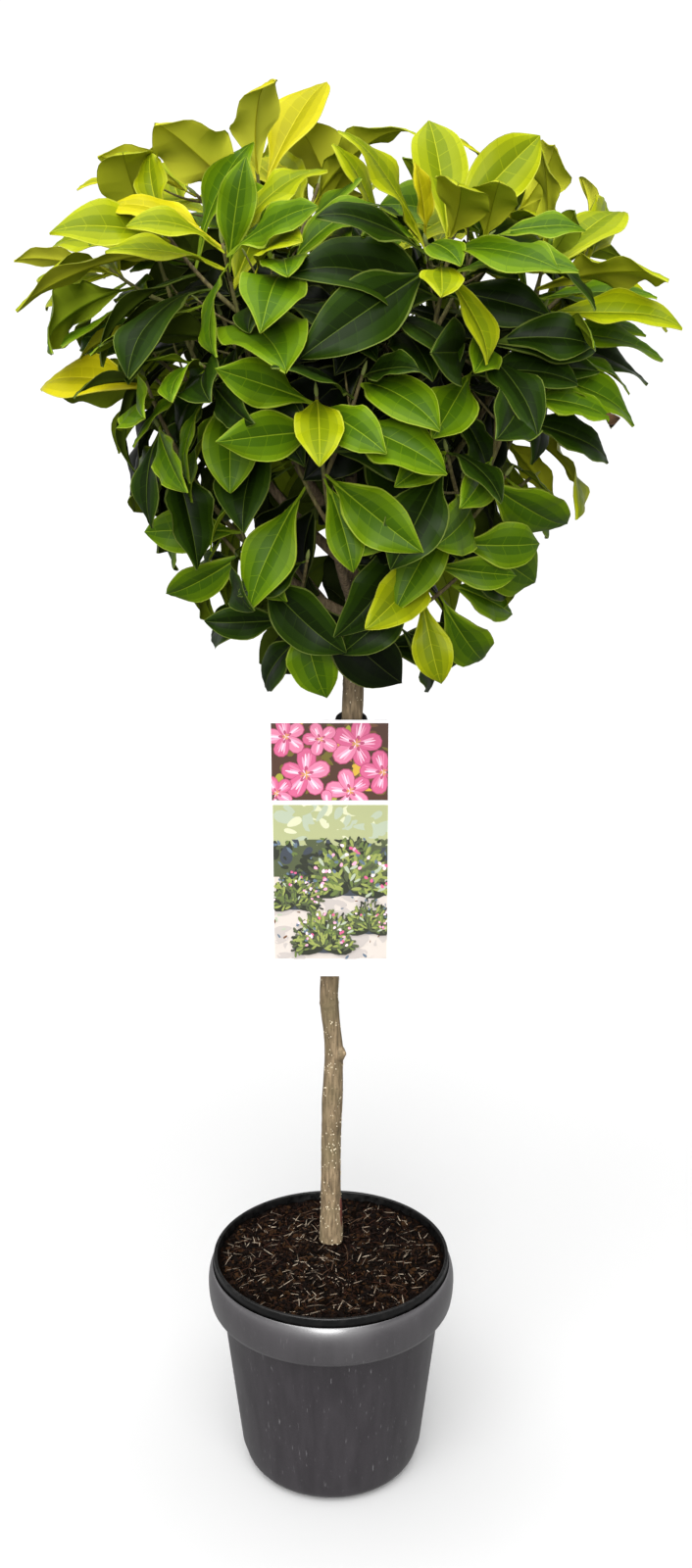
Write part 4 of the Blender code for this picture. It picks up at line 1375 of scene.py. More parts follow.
@dataclass(frozen=True)
class BladeForm:
    """How one leaf's blade is shaped: outline, fold, waves, twist and veins."""

    widest: float
    wedge: float
    taper: float
    point: float
    fold: float
    wave: float
    waves: float
    phase: float
    twist: float
    curl: float
    veins: int
    withered: bool = False

    narrowing = 0.81  # the blade's width over that of the solid leaf
    drawn_out = 1.12  # and its length, but for leaves with a tip down by the label
    kept_short = 0.96
    label_near = 0.745  # height under which a tip is down by the label
    petiole = 0.055
    stalk_half = 0.9 * MM
    stalk_share = 0.2  # the stalk thins out over this share of the blade
    rib_half = 0.6 * MM
    least_half = 0.25 * MM
    tip_from = 0.78  # share of the length where the tip begins to narrow
    tip_share = 0.22
    rim = 0.8 * MM  # the real rim is 0.4 mm, drawn wider to show
    vein = 0.5 * MM  # side veins are 0.3 mm in life
    first_vein = 0.13  # share of the length where the side veins begin
    vein_stretch = 0.74
    last_field = 0.97
    tip_rows = (0.955, 0.985, 1.0)
    chevron = 0.18  # how far forward the veins reach at the edge
    quilt = 0.55 * MM
    groove = 0.45 * MM
    droop = 0.1  # of the outer edge, as a share of the half width
    keel = 1.0 * MM
    thickness = 0.45 * MM
    rim_thickness = 0.25 * MM
    curl_from = 0.7
    dried_from = 0.84
    half_zones = (Zone.RIM, Zone.OUTER, Zone.MIDDLE, Zone.INNER, Zone.RIB)  # from the edge in to the midrib

    @classmethod
    def drawn(cls, rng: Random, leaf: Leaf, withered: bool) -> BladeForm:
        """Draws the form of one leaf.

        Args:
            rng: The draws for leaf forms.
            leaf: The leaf, whose length sets its number of veins.
            withered: Whether its tip has dried up.

        Returns:
            The form.
        """
        return cls(
            widest=rng.uniform(0.52, 0.64),
            wedge=rng.uniform(1.25, 1.85),
            taper=rng.uniform(0.72, 0.98),
            point=rng.uniform(0.0, 0.24),
            fold=radians(rng.uniform(7.0, 27.0)),
            wave=rng.uniform(0.016, 0.046),
            waves=rng.uniform(1.5, 3.6),
            phase=rng.uniform(0.0, tau),
            twist=rng.gauss(0.0, 0.28),
            curl=rng.uniform(0.0, 0.9),
            veins=8 if leaf.length > 0.085 else 6 if leaf.length > 0.055 else 5,
            withered=withered,
        )

    def rows(self, length: float) -> tuple[np.ndarray, np.ndarray]:
        """Places of the rows along the midrib.

        Args:
            length: The leaf's length.

        Returns:
            The rows' shares of the length, and how full the quilting is at each, -1 on a vein.
        """
        half = self.vein / length / 2
        shares, quilted = [0.0, self.petiole], [0.0, 0.0]
        veins = [self.first_vein + self.vein_stretch * k / (self.veins - 1) for k in range(self.veins)]
        for place, after in zip(veins, [*veins[1:], self.last_field]):
            shares += [place - half, place + half, (place + after) / 2]
            quilted += [-1.0, 0.0, 1.0]
        return np.array([*shares, *self.tip_rows]), np.array([*quilted, *(0.0 for _ in self.tip_rows)])

    def half_width(self, shares: np.ndarray, half: float) -> np.ndarray:
        """Half width of the blade along its length.

        Args:
            shares: Shares of the length.
            half: Half width at the widest place.

        Returns:
            Half width at each share, from the stalk's to the tip's.
        """
        power = log(0.5) / log(self.widest)
        arch = np.clip(np.sin(pi * np.clip(shares, 0.0, 1.0) ** power), 0.0, 1.0)
        swell = np.where(shares < self.widest, arch**self.wedge, arch**self.taper)
        drop = np.clip((shares - self.tip_from) / self.tip_share, 0.0, 1.0)
        wide = half * swell * (1 - self.point * drop * drop * (3 - 2 * drop))
        stalk = self.stalk_half * np.clip(1 - shares / self.stalk_share, 0.0, 1.0)
        return np.maximum(np.maximum(wide, stalk), self.least_half)

    def length(self, leaf: Leaf) -> float:
        """Length of the blade, slightly more than the solid leaf's but for leaves down by the label."""
        return leaf.length * (self.drawn_out if leaf.tip.z > self.label_near else self.kept_short)

    def mesh(self, leaf: Leaf) -> tuple[np.ndarray, list[list[int]], np.ndarray]:
        """Builds the thin closed blade with its relief.

        Args:
            leaf: The leaf that it belongs to.

        Returns:
            Points, faces and the zone of each face.
        """
        length, half = self.length(leaf), leaf.width * self.narrowing / 2
        rows, quilted = self.rows(length)
        wide = self.half_width(rows, half)
        rib = np.minimum(0.8, self.rib_half * (1 - 0.7 * rows) / wide)
        edge = 1 - np.minimum(0.15, self.rim / wide)
        first, second = rib + (edge - rib) * 0.4, rib + (edge - rib) * 0.78
        right = np.stack([rib, first, second, edge, np.ones_like(rib)], axis=1)
        across = np.concatenate([-right[:, ::-1], np.zeros((len(rows), 1)), right], axis=1)
        out = np.abs(across)
        grown = rows[:, None]
        forward = self.chevron * np.clip(grown / 0.15, 0.0, 1.0) * (1 - grown) ** 0.6
        share = grown + forward * out**1.15
        y = across * self.half_width(share, half)
        z = tan(self.fold) * np.abs(y) * (1 - 0.5 * share) - self.droop * half * out**3
        ripple = np.sin(tau * self.waves * share + self.phase + 2.1 * (across > 0))
        z += self.wave * length * ripple * out**2 * np.sin(pi * np.clip(share, 0.0, 1.0))
        z += self.quilt * np.clip(quilted, 0.0, 1.0)[:, None] * np.sin(pi * np.clip(out, 0.0, 1.0))
        z -= self.groove * (out == 0.0) * (1 - grown)
        z -= self.curl * length * np.clip(share - self.curl_from, 0.0, 1.0) ** 2
        if self.withered:
            dry = np.clip((share - 0.8) / 0.2, 0.0, 1.0)
            y *= 1 - 0.45 * dry
            z += 5.0 * MM * dry * np.sin(21.0 * share + 9.0 * across)
        thick = np.where(out >= 0.999, self.rim_thickness, self.thickness)
        thick = thick + self.keel * (out == 0.0) * (1 - 0.8 * grown)
        places = [self.placed(leaf, share, y, height) for height in (z, z - thick)]
        points = np.concatenate([side.reshape(-1, 3) for side in places])
        return points, *self.faces(rows, quilted)

    def placed(self, leaf: Leaf, share: np.ndarray, y: np.ndarray, z: np.ndarray) -> np.ndarray:
        """Twists a side of the blade, bends it along the midrib and puts it in its place.

        Args:
            leaf: The leaf that it belongs to.
            share: Share of the length at each point.
            y: How far each point is from the midrib.
            z: Its height over the flat blade.

        Returns:
            The points on the plant.
        """
        twist = self.twist * (share - 0.3)
        y, z = y * np.cos(twist) - z * np.sin(twist), y * np.sin(twist) + z * np.cos(twist)
        turn, reach = leaf.bend * share, self.length(leaf) * share
        x = reach * np.cos(turn / 2) + z * np.sin(turn)
        high = z * np.cos(turn) - reach * np.sin(turn / 2)
        local = np.stack([x, y, high, np.ones_like(x)], axis=-1)
        return (local @ np.array(leaf.frame).T)[..., :3]

    def faces(self, rows: np.ndarray, quilted: np.ndarray) -> tuple[list[list[int]], np.ndarray]:
        """Faces of both sides and the rim.

        Args:
            rows: Shares of the length of the rows.
            quilted: How full the quilting is at each, -1 on a vein.

        Returns:
            The faces, and the zone of each.
        """
        half = len(self.half_zones)
        count, columns = len(rows), 2 * half + 1
        top = np.tile(np.array([*self.half_zones, *self.half_zones[::-1]]), (count - 1, 1))
        top[0, :] = Zone.RIB
        veined = np.flatnonzero(quilted[:-1] < 0.0)
        top[np.ix_(veined, [k for k in range(1, columns - 2) if k not in (half - 1, half)])] = Zone.VEIN
        under = np.full_like(top, Zone.UNDER)
        under[:, half - 1 : half + 1] = Zone.RIB
        if self.withered:
            dry = rows[:-1] > self.dried_from
            top[dry] = under[dry] = Zone.WITHERED
        below = count * columns
        upper = grid_faces(count, columns)[:, [0, 3, 2, 1]]  # split along the diagonal that the underside has
        lower = grid_faces(count, columns) + below
        places = np.arange(below).reshape(count, columns)
        sides = (places[:, 0], places[-1, 1:], places[-2::-1, -1], places[0, -2:0:-1])
        border = np.concatenate(sides).tolist()
        rim = [[a, b, b + below, a + below] for a, b in zip(border, [*border[1:], border[0]])]
        zones = np.concatenate([top.ravel(), under.ravel(), np.full(len(rim), Zone.RIM)])
        return [*upper.tolist(), *lower.tolist(), *rim], zones


@dataclass
class Crown:
    """Boughs, twigs, leaves, buds and the one seed cone."""

    growth: Growth = field(default_factory=Growth)
    form_seed: int = 41
    twig_slimness: float = 0.75  # round twigs are slimmer than the solids' three-sided ones
    twig_loss: float = 0.15
    joint: float = 0.12  # how much thicker a twig is at its joints
    joint_turn: float = 2.4  # from one step along a twig to the next, so that a joint comes every few steps
    bud: Pair = (0.0016, 0.0105)
    bud_line: tuple[float, ...] = (-0.1, 0.0, 0.2, 0.5, 0.8, 0.95, 1.0)
    bud_swell: tuple[float, ...] = (0.5, 0.75, 1.0, 0.95, 0.55, 0.25, 0.06)
    small_bud: float = 0.6
    cone_rings: int = 14
    cone_scales: int = 64
    scale_radii: tuple[float, ...] = (0.9 * MM, 0.85 * MM, 0.5 * MM, 0.12 * MM)
    yellowed: tuple[Pair, ...] = ((-0.095, 1.125), (0.075, 1.115), (-0.2, 0.995))
    dried: Pair = (0.205, 0.985)
    foremost: float = 0.35  # how far a leaf's place from front to back counts when one is picked
    stem_x: float = 0.02  # where the stem passes behind the lowest leaves
    # The tints are dealt by place: darker deep inside the crown as painted shade, paler towards its skin, top
    # and foot as painted light.
    skin_rise: float = 1.9
    tint_top: float = 0.6  # from this share of the crown's height on, leaves grow yellower upwards, which is painted light
    tint_rise: float = 0.58
    tint_low: float = 0.12  # and leaves low in the crown are paler than as deep ones higher up, which is painted light
    tint_spread: float = 0.06
    tint_steps: tuple[float, ...] = (0.52, 0.72, 0.87, 1.07, 1.26)
    lime_from: float = 0.34  # below this share of the crown's height no leaf turns lime
    olive_share: float = 0.08  # share of the sprays whose brightest leaves have dulled
    sprays: list[Sprays] = field(default_factory=list)

    def build(self) -> None:
        """Grows the crown and makes its pieces, mass by mass."""
        self.sprays = self.growth.run()
        first = sum(len(limb.leaves) for sprays in self.sprays for limb in sprays.limbs)
        more = sum(len(limb.leaves) for sprays in self.sprays for limb in sprays.twigs)
        LOG.info("leaves: %d on limbs, %d on finer twigs", first, more)
        tints = [finish.make() for tint in Tint for finish in tint.finishes()]
        wood = [TWIG_FINISH.make(), BUD_FINISH.make()]
        marked = self.marked_leaves()
        rng = Random(self.form_seed)
        for sprays in self.sprays:
            node = f"foliage_{sprays.mass.name}"
            leaves = self.leaf_piece(sprays, rng, marked, tints)
            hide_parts(node)
            twigs = self.twig_piece(sprays, wood)
            if sprays.mass.name == self.growth.fruit_mass:
                cone = self.cone_piece(sprays.limbs[0])
        self.bough_piece()

    def marked_leaves(self) -> dict[int, Tint | None]:
        """Picks the yellowed leaves and the one with a dried tip: the foremost near each named place.

        Returns:
            The tint by the leaf's identity, or None for the dried one.
        """
        leaves = [leaf for sprays in self.sprays for limb in sprays.limbs for leaf in limb.leaves]

        def far(place: Vector, spot: Pair) -> float:
            """How far a place is from a spot seen from the front, less for one that is nearer."""
            return hypot(place.x - spot[0], place.z - spot[1]) + self.foremost * place.y

        marked: dict[int, Tint | None] = {}
        for spot in self.yellowed:
            marked[id(min(leaves, key=lambda leaf: far(leaf.middle, spot)))] = Tint.YELLOW
        marked[id(min(leaves, key=lambda leaf: far(leaf.tip, self.dried)))] = None
        return marked

    def tint_of(self, leaf: Leaf, spray: float) -> Tint:
        """Deals out a leaf's green: darker deeper inside the crown, which is painted shade, and paler and
        yellower the nearer the crown's skin and top it is and low down in the crown, which is painted light.

        Args:
            leaf: The leaf.
            spray: How much paler than others its spray is.

        Returns:
            Its green.
        """
        low, high = CROWN.outline[0][0], CROWN.outline[-1][0]
        height = (leaf.middle.z - low) / (high - low)
        skin = max(CROWN.reach_share(leaf.middle), self.skin_rise * (height - 0.5))
        top = max(0.0, height - self.tint_top) / (1 - self.tint_top)
        lit = skin + self.tint_rise * top + self.tint_low * max(0.0, 1 - 3 * height) + spray
        step = sum(lit > edge for edge in self.tint_steps[: 3 if height < self.lime_from else None])
        return (Tint.DEEP, Tint.GREEN, Tint.FRESH, Tint.BRIGHT, Tint.LIME, Tint.YOUNG)[step]

    def hides_stem(self, leaf: Leaf) -> bool:
        """Whether a leaf would hang right across the stem's clear stretch above the label."""
        foot, tip = leaf.frame.translation.x - self.stem_x, leaf.tip.x - self.stem_x
        return leaf.tip.z < BladeForm.label_near and foot * tip < 0.0

    def leaf_piece(
        self, sprays: Sprays, rng: Random, marked: dict[int, Tint | None], tints: list[Material]
    ) -> bpy.types.Object:
        """Joins the leaves of a mass, but for those that would hang across the stem's clear stretch.

        Args:
            sprays: The mass as it has grown.
            rng: The draws for leaf forms.
            marked: The tint of the leaves that were picked, by identity.
            tints: Materials of every zone of every tint.

        Returns:
            The piece.
        """
        shape = Shape(RULE_DROP)
        order = list(Tint)
        for limb in [*sprays.limbs, *sprays.twigs]:
            spray = rng.gauss(0.0, self.tint_spread)
            dulled = rng.random() < self.olive_share
            for leaf in limb.leaves:
                tint = marked.get(id(leaf)) or self.tint_of(leaf, spray + rng.gauss(0.0, self.tint_spread))
                if dulled and tint in (Tint.LIME, Tint.YOUNG):
                    tint = Tint.OLIVE
                form = BladeForm.drawn(rng, leaf, id(leaf) in marked and marked[id(leaf)] is None)
                if self.hides_stem(leaf):
                    continue
                points, faces, zones = form.mesh(leaf)
                shape.add(points, faces, zones + order.index(tint) * len(Zone))
        return shape.piece(f"leaves_{sprays.mass.name}", tints)

    def twig_piece(self, sprays: Sprays, wood: list[Material]) -> bpy.types.Object:
        """Joins the twigs of a mass, thicker at each joint, with a downy bud on each tip but the cone's.

        Args:
            sprays: The mass as it has grown.
            wood: Materials of bark and bud.

        Returns:
            The piece.
        """
        shape = Shape(RULE_DROP)
        for limb in [*sprays.limbs, *sprays.twigs]:
            points, plain = limb.finer(6)
            radii = []
            for k, radius in enumerate(plain):
                joint = self.joint * max(0.0, sin(k * self.joint_turn)) ** 6
                loss = 1.0 - self.twig_loss * k / (len(plain) - 1)
                radii.append(radius * self.twig_slimness * (1 + joint) * loss)
            shape.add_tube(points, radii, 8)
            if sprays.mass.name == self.growth.fruit_mass and limb is sprays.limbs[0]:
                continue
            tip, axis = point_on(limb.points, 1.0)
            size = 1.0 if limb in sprays.limbs else self.small_bud
            radius, length = self.bud
            ends = [tip + axis * (length * size * t) for t in self.bud_line]
            shape.add_tube(ends, [radius * size * w for w in self.bud_swell], 8, 1)
        return shape.piece(f"twigs_{sprays.mass.name}", wood)

    def cone_piece(self, stem: Limb) -> bpy.types.Object:
        """Builds the seed cone: a knobbly spindle of scales in two spirals.

        Args:
            stem: Limb whose tip carries it.

        Returns:
            The piece.
        """
        shape = Shape(RULE_DROP)
        frame = self.growth.fruit_frame(stem)
        length, radius = self.growth.fruit_length, self.growth.fruit_radius

        def swell(share: float, least: float) -> float:
            """How full the spindle is at a share of its length."""
            return max(least, sin(pi * (0.08 + 0.88 * share)) ** 0.6)

        shares = [k / self.cone_rings for k in range(self.cone_rings + 1)]
        middle = [frame @ Vector((0.0, 0.0, length * (t - 0.04))) for t in shares]
        shape.add_tube(middle, [radius * 0.72 * swell(t, 0.12) for t in shares], 12)
        for k in range(self.cone_scales):
            share, turn = 0.05 + 0.9 * k / self.cone_scales, k * GOLDEN_ANGLE
            out = Vector((cos(turn), sin(turn), 0.0)) * (radius * swell(share, 0.2))
            root = Vector((0.0, 0.0, length * (share - 0.04)))
            scale = [frame @ (root + out * t + UP * (1.1 * MM * t)) for t in (0.5, 0.85, 1.1, 1.2)]
            shape.add_tube(scale, self.scale_radii, 6, k % 2)
        return shape.piece("seed_cone", [CONE_FINISH.make(), SEED_FINISH.make()])

    def bough_piece(self) -> None:
        """Joins the boughs, with the bark's relief, in place of the solid ones."""
        shape = Shape(RULE_DROP)
        boughs = {f"bough_{sprays.mass.name}": sprays.bough for sprays in self.sprays if sprays.bough}
        for bough in boughs.values():
            points, plain = bough.finer(10)
            radii = [radius * (1 + 0.05 * noise.noise(point * 160)) for radius, point in zip(plain, points)]
            shape.add_tube(points, radii, 20)
        piece = shape.piece("boughs", [BARK_FINISH.make()])
        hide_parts(*boughs)


# ------------------------ trunk


@dataclass
class Trunk:
    """The clear stem with its bark relief, bud scar, healed wound and cork pores."""

    sides: int = 40
    steps: int = 14
    sunk: float = 0.004  # the foot goes this far into the loose compost
    flare: float = 1.06
    relief: float = 0.35 * MM
    ridge_mm: float = 5.0
    swelling: float = 0.6 * MM
    ring_scars: tuple[float, ...] = (0.262, 0.335, 0.455, 0.512, 0.566, 0.655, 0.742, 0.786, 0.835)
    ring_height: float = 0.5 * MM
    ring_half: float = 1.6 * MM
    knot_z: float = 0.4075
    knot_radius: float = 0.0052
    knot_shift: Pair = (0.62, -0.42)
    knot_face: Triple = (0.002, 0.002, 0.003)
    wound: Triple = (0.245, 0.018, 0.0026)  # height, half length, half width
    wound_bearing: float = -20.0
    lump_rings: int = 9
    lump_sides: int = 14
    pores: int = 950
    pore: Pair = (0.35 * MM, 0.85 * MM)
    pore_heights: Pair = (0.214, 0.9)
    seed: int = 7

    def build(self) -> None:
        """Makes the stem and its pores."""
        shape = Shape(RULE_DROP)
        z, x, y, radius = TRUNK.rows[0]
        rows = smoothed([(z - self.sunk, x, y, radius * self.flare), *TRUNK.rows], self.steps)
        points = [Vector((x, y, z)) for z, x, y, _ in rows]
        rings = sweep(points, [row[3] for row in rows], self.sides)
        for ring, centre in zip(rings, points):
            scar = sum(exp(-(((centre.z - z) / self.ring_half) ** 2)) for z in self.ring_scars)
            for k, place in enumerate(ring):
                out = Vector(place) - centre
                out.normalize()
                streak = Vector((place[0], place[1], place[2] * 0.3)) / (self.ridge_mm * MM)
                lift = self.relief * noise.noise(streak) + self.ring_height * scar
                lift += self.swelling * noise.noise(Vector(place) * 45.0)
                ring[k] = place + np.array(out) * lift
        shape.add(*closed_skin(rings, (points[0], points[-1])))
        centre, radius = TRUNK.at(self.knot_z)
        knot = centre + Vector((*self.knot_shift, 0.0)) * radius
        self.lump(shape, knot, (self.knot_radius, self.knot_radius, self.knot_radius * 1.5), 0)
        face = knot + Vector((self.knot_radius * 0.72, -self.knot_radius * 0.5, 0.001))
        self.lump(shape, face, self.knot_face, 0)
        height, half, width = self.wound
        bearing = radians(self.wound_bearing)
        centre, radius = TRUNK.at(height)
        mark = centre + Vector((cos(bearing), sin(bearing), 0.0)) * radius * 0.93
        self.lump(shape, mark, (width * 0.6, width, half), 1)
        stem = shape.piece("trunk_bark", [BARK_FINISH.make(), SCAR_FINISH.make()])
        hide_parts("trunk")
        self.build_pores()

    def lump(self, shape: Shape, place: Vector, radii: Triple, zone: int) -> None:
        """Adds a rough rounded lump, sunk in the bark.

        Args:
            shape: Stem that it goes on.
            place: Its middle.
            radii: Its half size along each axis.
            zone: Finish number.
        """
        rings, middle = [], []
        for k in range(self.lump_rings):
            angle = pi * (k + 0.5) / self.lump_rings
            height = place.z - radii[2] * cos(angle)
            middle.append((place.x, place.y, height))
            spots = []
            for n in range(self.lump_sides):
                turn = tau * n / self.lump_sides
                reach = sin(angle) * (1 + 0.14 * noise.noise(Vector((n, k, radii[2] * 900))))
                x, y = radii[0] * reach * cos(turn), radii[1] * reach * sin(turn)
                spots.append((place.x + x, place.y + y, height))
            rings.append(spots)
        shape.add(*closed_skin(np.array(rings), (middle[0], middle[-1])), zone)

    def build_pores(self) -> None:
        """Scatters the raised cork pores that speckle young magnolia bark."""
        rng = Random(self.seed)
        shape = Shape(RULE_DROP)
        sides = 6
        faces = [[sides, (k + 1) % sides, k] for k in range(sides)]
        faces += [[sides + 1, k, (k + 1) % sides] for k in range(sides)]
        for _ in range(self.pores):
            centre, radius = TRUNK.at(rng.uniform(*self.pore_heights))
            turn = rng.uniform(0.0, tau)
            out = Vector((cos(turn), sin(turn), 0.0))
            size = rng.uniform(*self.pore)
            place = centre + out * (radius + 0.12 * MM)
            across = out.cross(UP) * size * rng.uniform(0.6, 1.1)
            upright = UP * size * rng.uniform(0.8, 1.5)
            angles = [tau * k / sides for k in range(sides)]
            ring = [place + across * cos(a) + upright * sin(a) for a in angles]
            shape.add(np.array([*ring, place + out * 0.3 * MM, place - out * 0.5 * MM]), faces)
        pores = shape.piece("bark_pores", [CORK_FINISH.make()])


# ------------------------ pots and compost


@dataclass
class OuterPot:
    """Outer pot: a tapered wall, a thicker band with a rounded rim, a soft foot, open at the top."""

    height: float = 0.201
    rim_radius: float = 0.11
    band: float = 0.04
    edge: float = 0.008
    draft: float = 0.0014
    band_wall: float = 0.0044
    shoulder: float = 0.098
    foot: float = 0.0797
    corner: float = 0.016
    inner_corner: float = 0.009
    wall: float = 0.0032
    floor: float = 0.004
    crown: tuple[Pair, ...] = (
        *((0.0006, 0.028), (0.0002, 0.023), (0.0, 0.018), (0.0001, 0.014), (0.0004, 0.0108)),
        *((0.0009, 0.008), (0.0015, 0.0056), (0.0021, 0.0037), (0.0027, 0.0022), (0.0033, 0.0011)),
        *((0.0038, 0.0003), (0.0041, 0.0)),
    )  # how far in and down the band's swelling face lies, from its lower edge to the rim's crest
    wall_rows: tuple[float, ...] = (0.012, 0.2, 0.4, 0.6, 0.8, 0.96)
    steps: int = 160

    def profile(self) -> list[Pair]:
        """Goes round the pot's section, from the inner floor over the rim to the underside.

        Returns:
            Radius and height of each point.
        """
        low = self.height - self.band
        slope = (self.shoulder - self.foot) / low
        edge_z = low + self.edge
        outer, inner = self.rim_radius - self.draft, self.rim_radius - self.band_wall
        foot_face = self.foot + slope * self.corner
        return [
            (0.0, self.floor),
            (self.foot - self.inner_corner, self.floor),
            (self.foot - self.wall, self.inner_corner),
            (self.shoulder - self.wall, low),
            (inner, edge_z),
            (inner, self.height - 0.0008),
            (inner + 0.0002, self.height - 0.0002),
            *((self.rim_radius - inward, self.height - down) for inward, down in self.crown[::-1]),
            *arc((outer - self.edge, edge_z), (self.edge, self.edge), 0, -90, 8),
            (self.shoulder + 0.0004, low),
            *((blend(self.shoulder, foot_face, t), blend(low, self.corner, t)) for t in self.wall_rows),
            *arc((self.foot - self.corner, self.corner), (self.corner, self.corner), -8, -90, 8),
            (0.0, 0.0),
        ]

    def build(self) -> None:
        """Makes the pot."""
        shape = turned_shape(self.profile(), self.steps)
        points = np.concatenate(shape.points)
        low, inner = self.height - self.band, self.rim_radius - self.edge
        for number, face in enumerate(shape.faces):
            x, y, z = points[list(face)].mean(axis=0)
            shape.zones[number] = int(z > low and hypot(x, y) > inner)
        pot = shape.piece("outer_pot", [POT_FINISH.make(), BAND_FINISH.make()])
        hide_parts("pot")


@dataclass
class NurseryPot:
    """Thin black nursery pot inside the outer one, with a thick rounded lip a little above its rim."""

    height: float = 0.209
    rim_radius: float = 0.105
    lip_drop: float = 0.014
    lip_round: float = 0.0009
    lip_draft: float = 0.0003
    neck_radius: float = 0.102
    shoulder: Pair = (0.0935, 0.166)
    foot_radius: float = 0.069
    wall: float = 0.0018
    floor: float = 0.004 + GAP
    steps: int = 144

    def build(self) -> None:
        """Makes the pot with its rounded lip."""
        lip, crest, roll = self.height - self.lip_drop, self.height - self.lip_round, self.lip_round
        profile = [
            (0.0, self.floor + self.wall),
            (self.foot_radius - self.wall, self.floor + self.wall),
            (self.shoulder[0] - self.wall, self.shoulder[1]),
            *arc((self.neck_radius + roll, crest), (roll, roll), 180, 90, 5),
            *arc((self.rim_radius - roll, crest), (roll, roll), 90, 0, 5),
            (self.rim_radius + self.lip_draft, lip),
            (self.neck_radius, lip),
            self.shoulder,
            (self.foot_radius, self.floor),
            (0.0, self.floor),
        ]
        pot = turned_shape(profile, self.steps).piece("inner_pot", [LINER_FINISH.make()])
        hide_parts("nursery_pot")


@dataclass
class Compost:
    """Heaped bark compost with its crumbs, bark chips and pale fibres."""

    crown_z: float = 0.207
    crown_radius: float = 0.038
    edge_z: float = 0.2025
    edge_radius: float = 0.1008
    shoulder: Pair = (0.091, 0.166)
    foot: Pair = (0.0666, 0.0067)
    rings: int = 54
    steps: int = 150
    sunk: float = 0.6 * MM
    clod_mm: float = 9.0
    clod_height: float = 2.4 * MM
    stem_y: float = 0.022
    stem_mound: Pair = (0.018, 1.2 * MM)  # its half width and its height
    stem_clear: float = 0.0135
    fibres: int = 2300
    fibre_browns: tuple[str, ...] = (
        *("#120a06", "#1f120b", "#090503"),  # moist
        *("#7b6d5d", "#938675", "#423023", "#5d5347", "#2e180d"),  # dry, the last of them moist as well
    )
    moist_fibres: tuple[int, ...] = (0, 1, 2, 2, 7)
    chips: int = 1900
    crumbs: int = 2200
    chip_browns: tuple[str, ...] = ("#0a0503", "#180c06", "#060302", "#2a1a0c", "#100805")
    chip_rings: tuple[Pair, ...] = ((-1.0, 0.75), (0.2, 1.0), (1.0, 0.7))  # level and width
    chip_sides: int = 6
    rng: Random = field(default_factory=lambda: Random(19))

    def height(self, x: float, y: float) -> float:
        """Height of the surface: the heap, its clods, and a small rise against the stem.

        Args:
            x: Place to the right.
            y: Place to the back.

        Returns:
            The height there.
        """
        reach = hypot(x, y)
        t = min(1.0, max(0.0, (reach - self.crown_radius) / (self.edge_radius - self.crown_radius)))
        heap = self.edge_z + (self.crown_z - self.edge_z) * (1 + cos(pi * t)) / 2
        spot = Vector((x, y, 0.0)) / (self.clod_mm * MM)
        clods = noise.noise(spot) + 0.55 * noise.noise(spot * 2.3) + 0.35 * noise.noise(spot * 5.1)
        half, rise = self.stem_mound
        stem = exp(-(((Vector((x, y)) - Vector((0.0, self.stem_y))).length / half) ** 2))
        return heap - self.sunk + self.clod_height * clods * (1 - 0.5 * stem) + rise * stem

    def build(self) -> None:
        """Makes the compost and everything strewn on it."""
        rows = []
        angles = [tau * n / self.steps for n in range(self.steps)]
        for k in range(1, self.rings + 1):
            radius = self.edge_radius * k / self.rings
            spots = [(radius * cos(a), radius * sin(a)) for a in angles]
            rows.append([(x, y, self.height(x, y)) for x, y in spots])
        edge = rows[-1]
        for radius, height in (self.shoulder, self.foot):
            narrow = radius / self.edge_radius
            rows.append([(x * narrow, y * narrow, height) for x, y, _ in edge])
        ends = ((0.0, 0.0, self.height(0.0, 0.0)), (0.0, 0.0, self.foot[1]))
        shape = Shape()
        shape.add(*closed_skin(np.array(rows), ends, turned_over=True))
        soil = shape.piece("compost", [COMPOST_FINISH.make()])
        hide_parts("soil")
        self.strew_fibres()
        self.strew_chips()

    def spot(self, margin: float) -> Vector:
        """Draws a place on the surface, clear of the stem.

        Args:
            margin: How far inside the edge it stays.

        Returns:
            The place.
        """
        while True:
            reach = (self.edge_radius - margin) * sqrt(self.rng.random())
            turn = self.rng.uniform(0.0, tau)
            x, y = reach * cos(turn), reach * sin(turn)
            if hypot(x, y - self.stem_y) > self.stem_clear:
                return Vector((x, y, self.height(x, y)))

    def strew_fibres(self) -> None:
        """Strews shredded bark fibres, most dark and moist, the long ones on top pale and dry."""
        shape, rng = Shape(), self.rng
        for number in range(self.fibres):
            pale = number % 3 == 0
            length = (rng.uniform(8.0, 24.0) if pale else rng.uniform(3.0, 14.0)) * MM * rng.uniform(0.6, 1.0)
            middle = self.spot(2.0 * MM + length * 0.4)
            turn = rng.uniform(0.0, tau)
            aim = Vector((cos(turn), sin(turn), rng.gauss(0.08, 0.26))).normalized()
            bow = side_of(aim, rng.uniform(0.0, tau)) * length * rng.uniform(0.0, 0.3)
            middle.z += rng.uniform(-0.4, 1.2 if pale else 0.6) * MM
            spots = [middle + aim * length * t + bow * (0.25 - t * t) for t in (-0.5, -0.2, 0.15, 0.5)]
            thick = (rng.uniform(0.28, 0.6) if pale else rng.uniform(0.25, 0.5)) * MM
            dry = pale and rng.random() < 0.7
            shade = rng.randrange(3, len(self.fibre_browns)) if dry else rng.choice(self.moist_fibres)
            shape.add_tube(spots, [thick * w for w in (0.4, 1.0, 0.85, 0.3)], 4, shade)
        finishes = self.brown_finishes("shredded_bark_fibre", self.fibre_browns, 1.3, 0.3)
        fibres = shape.piece("bark_fibres", finishes)

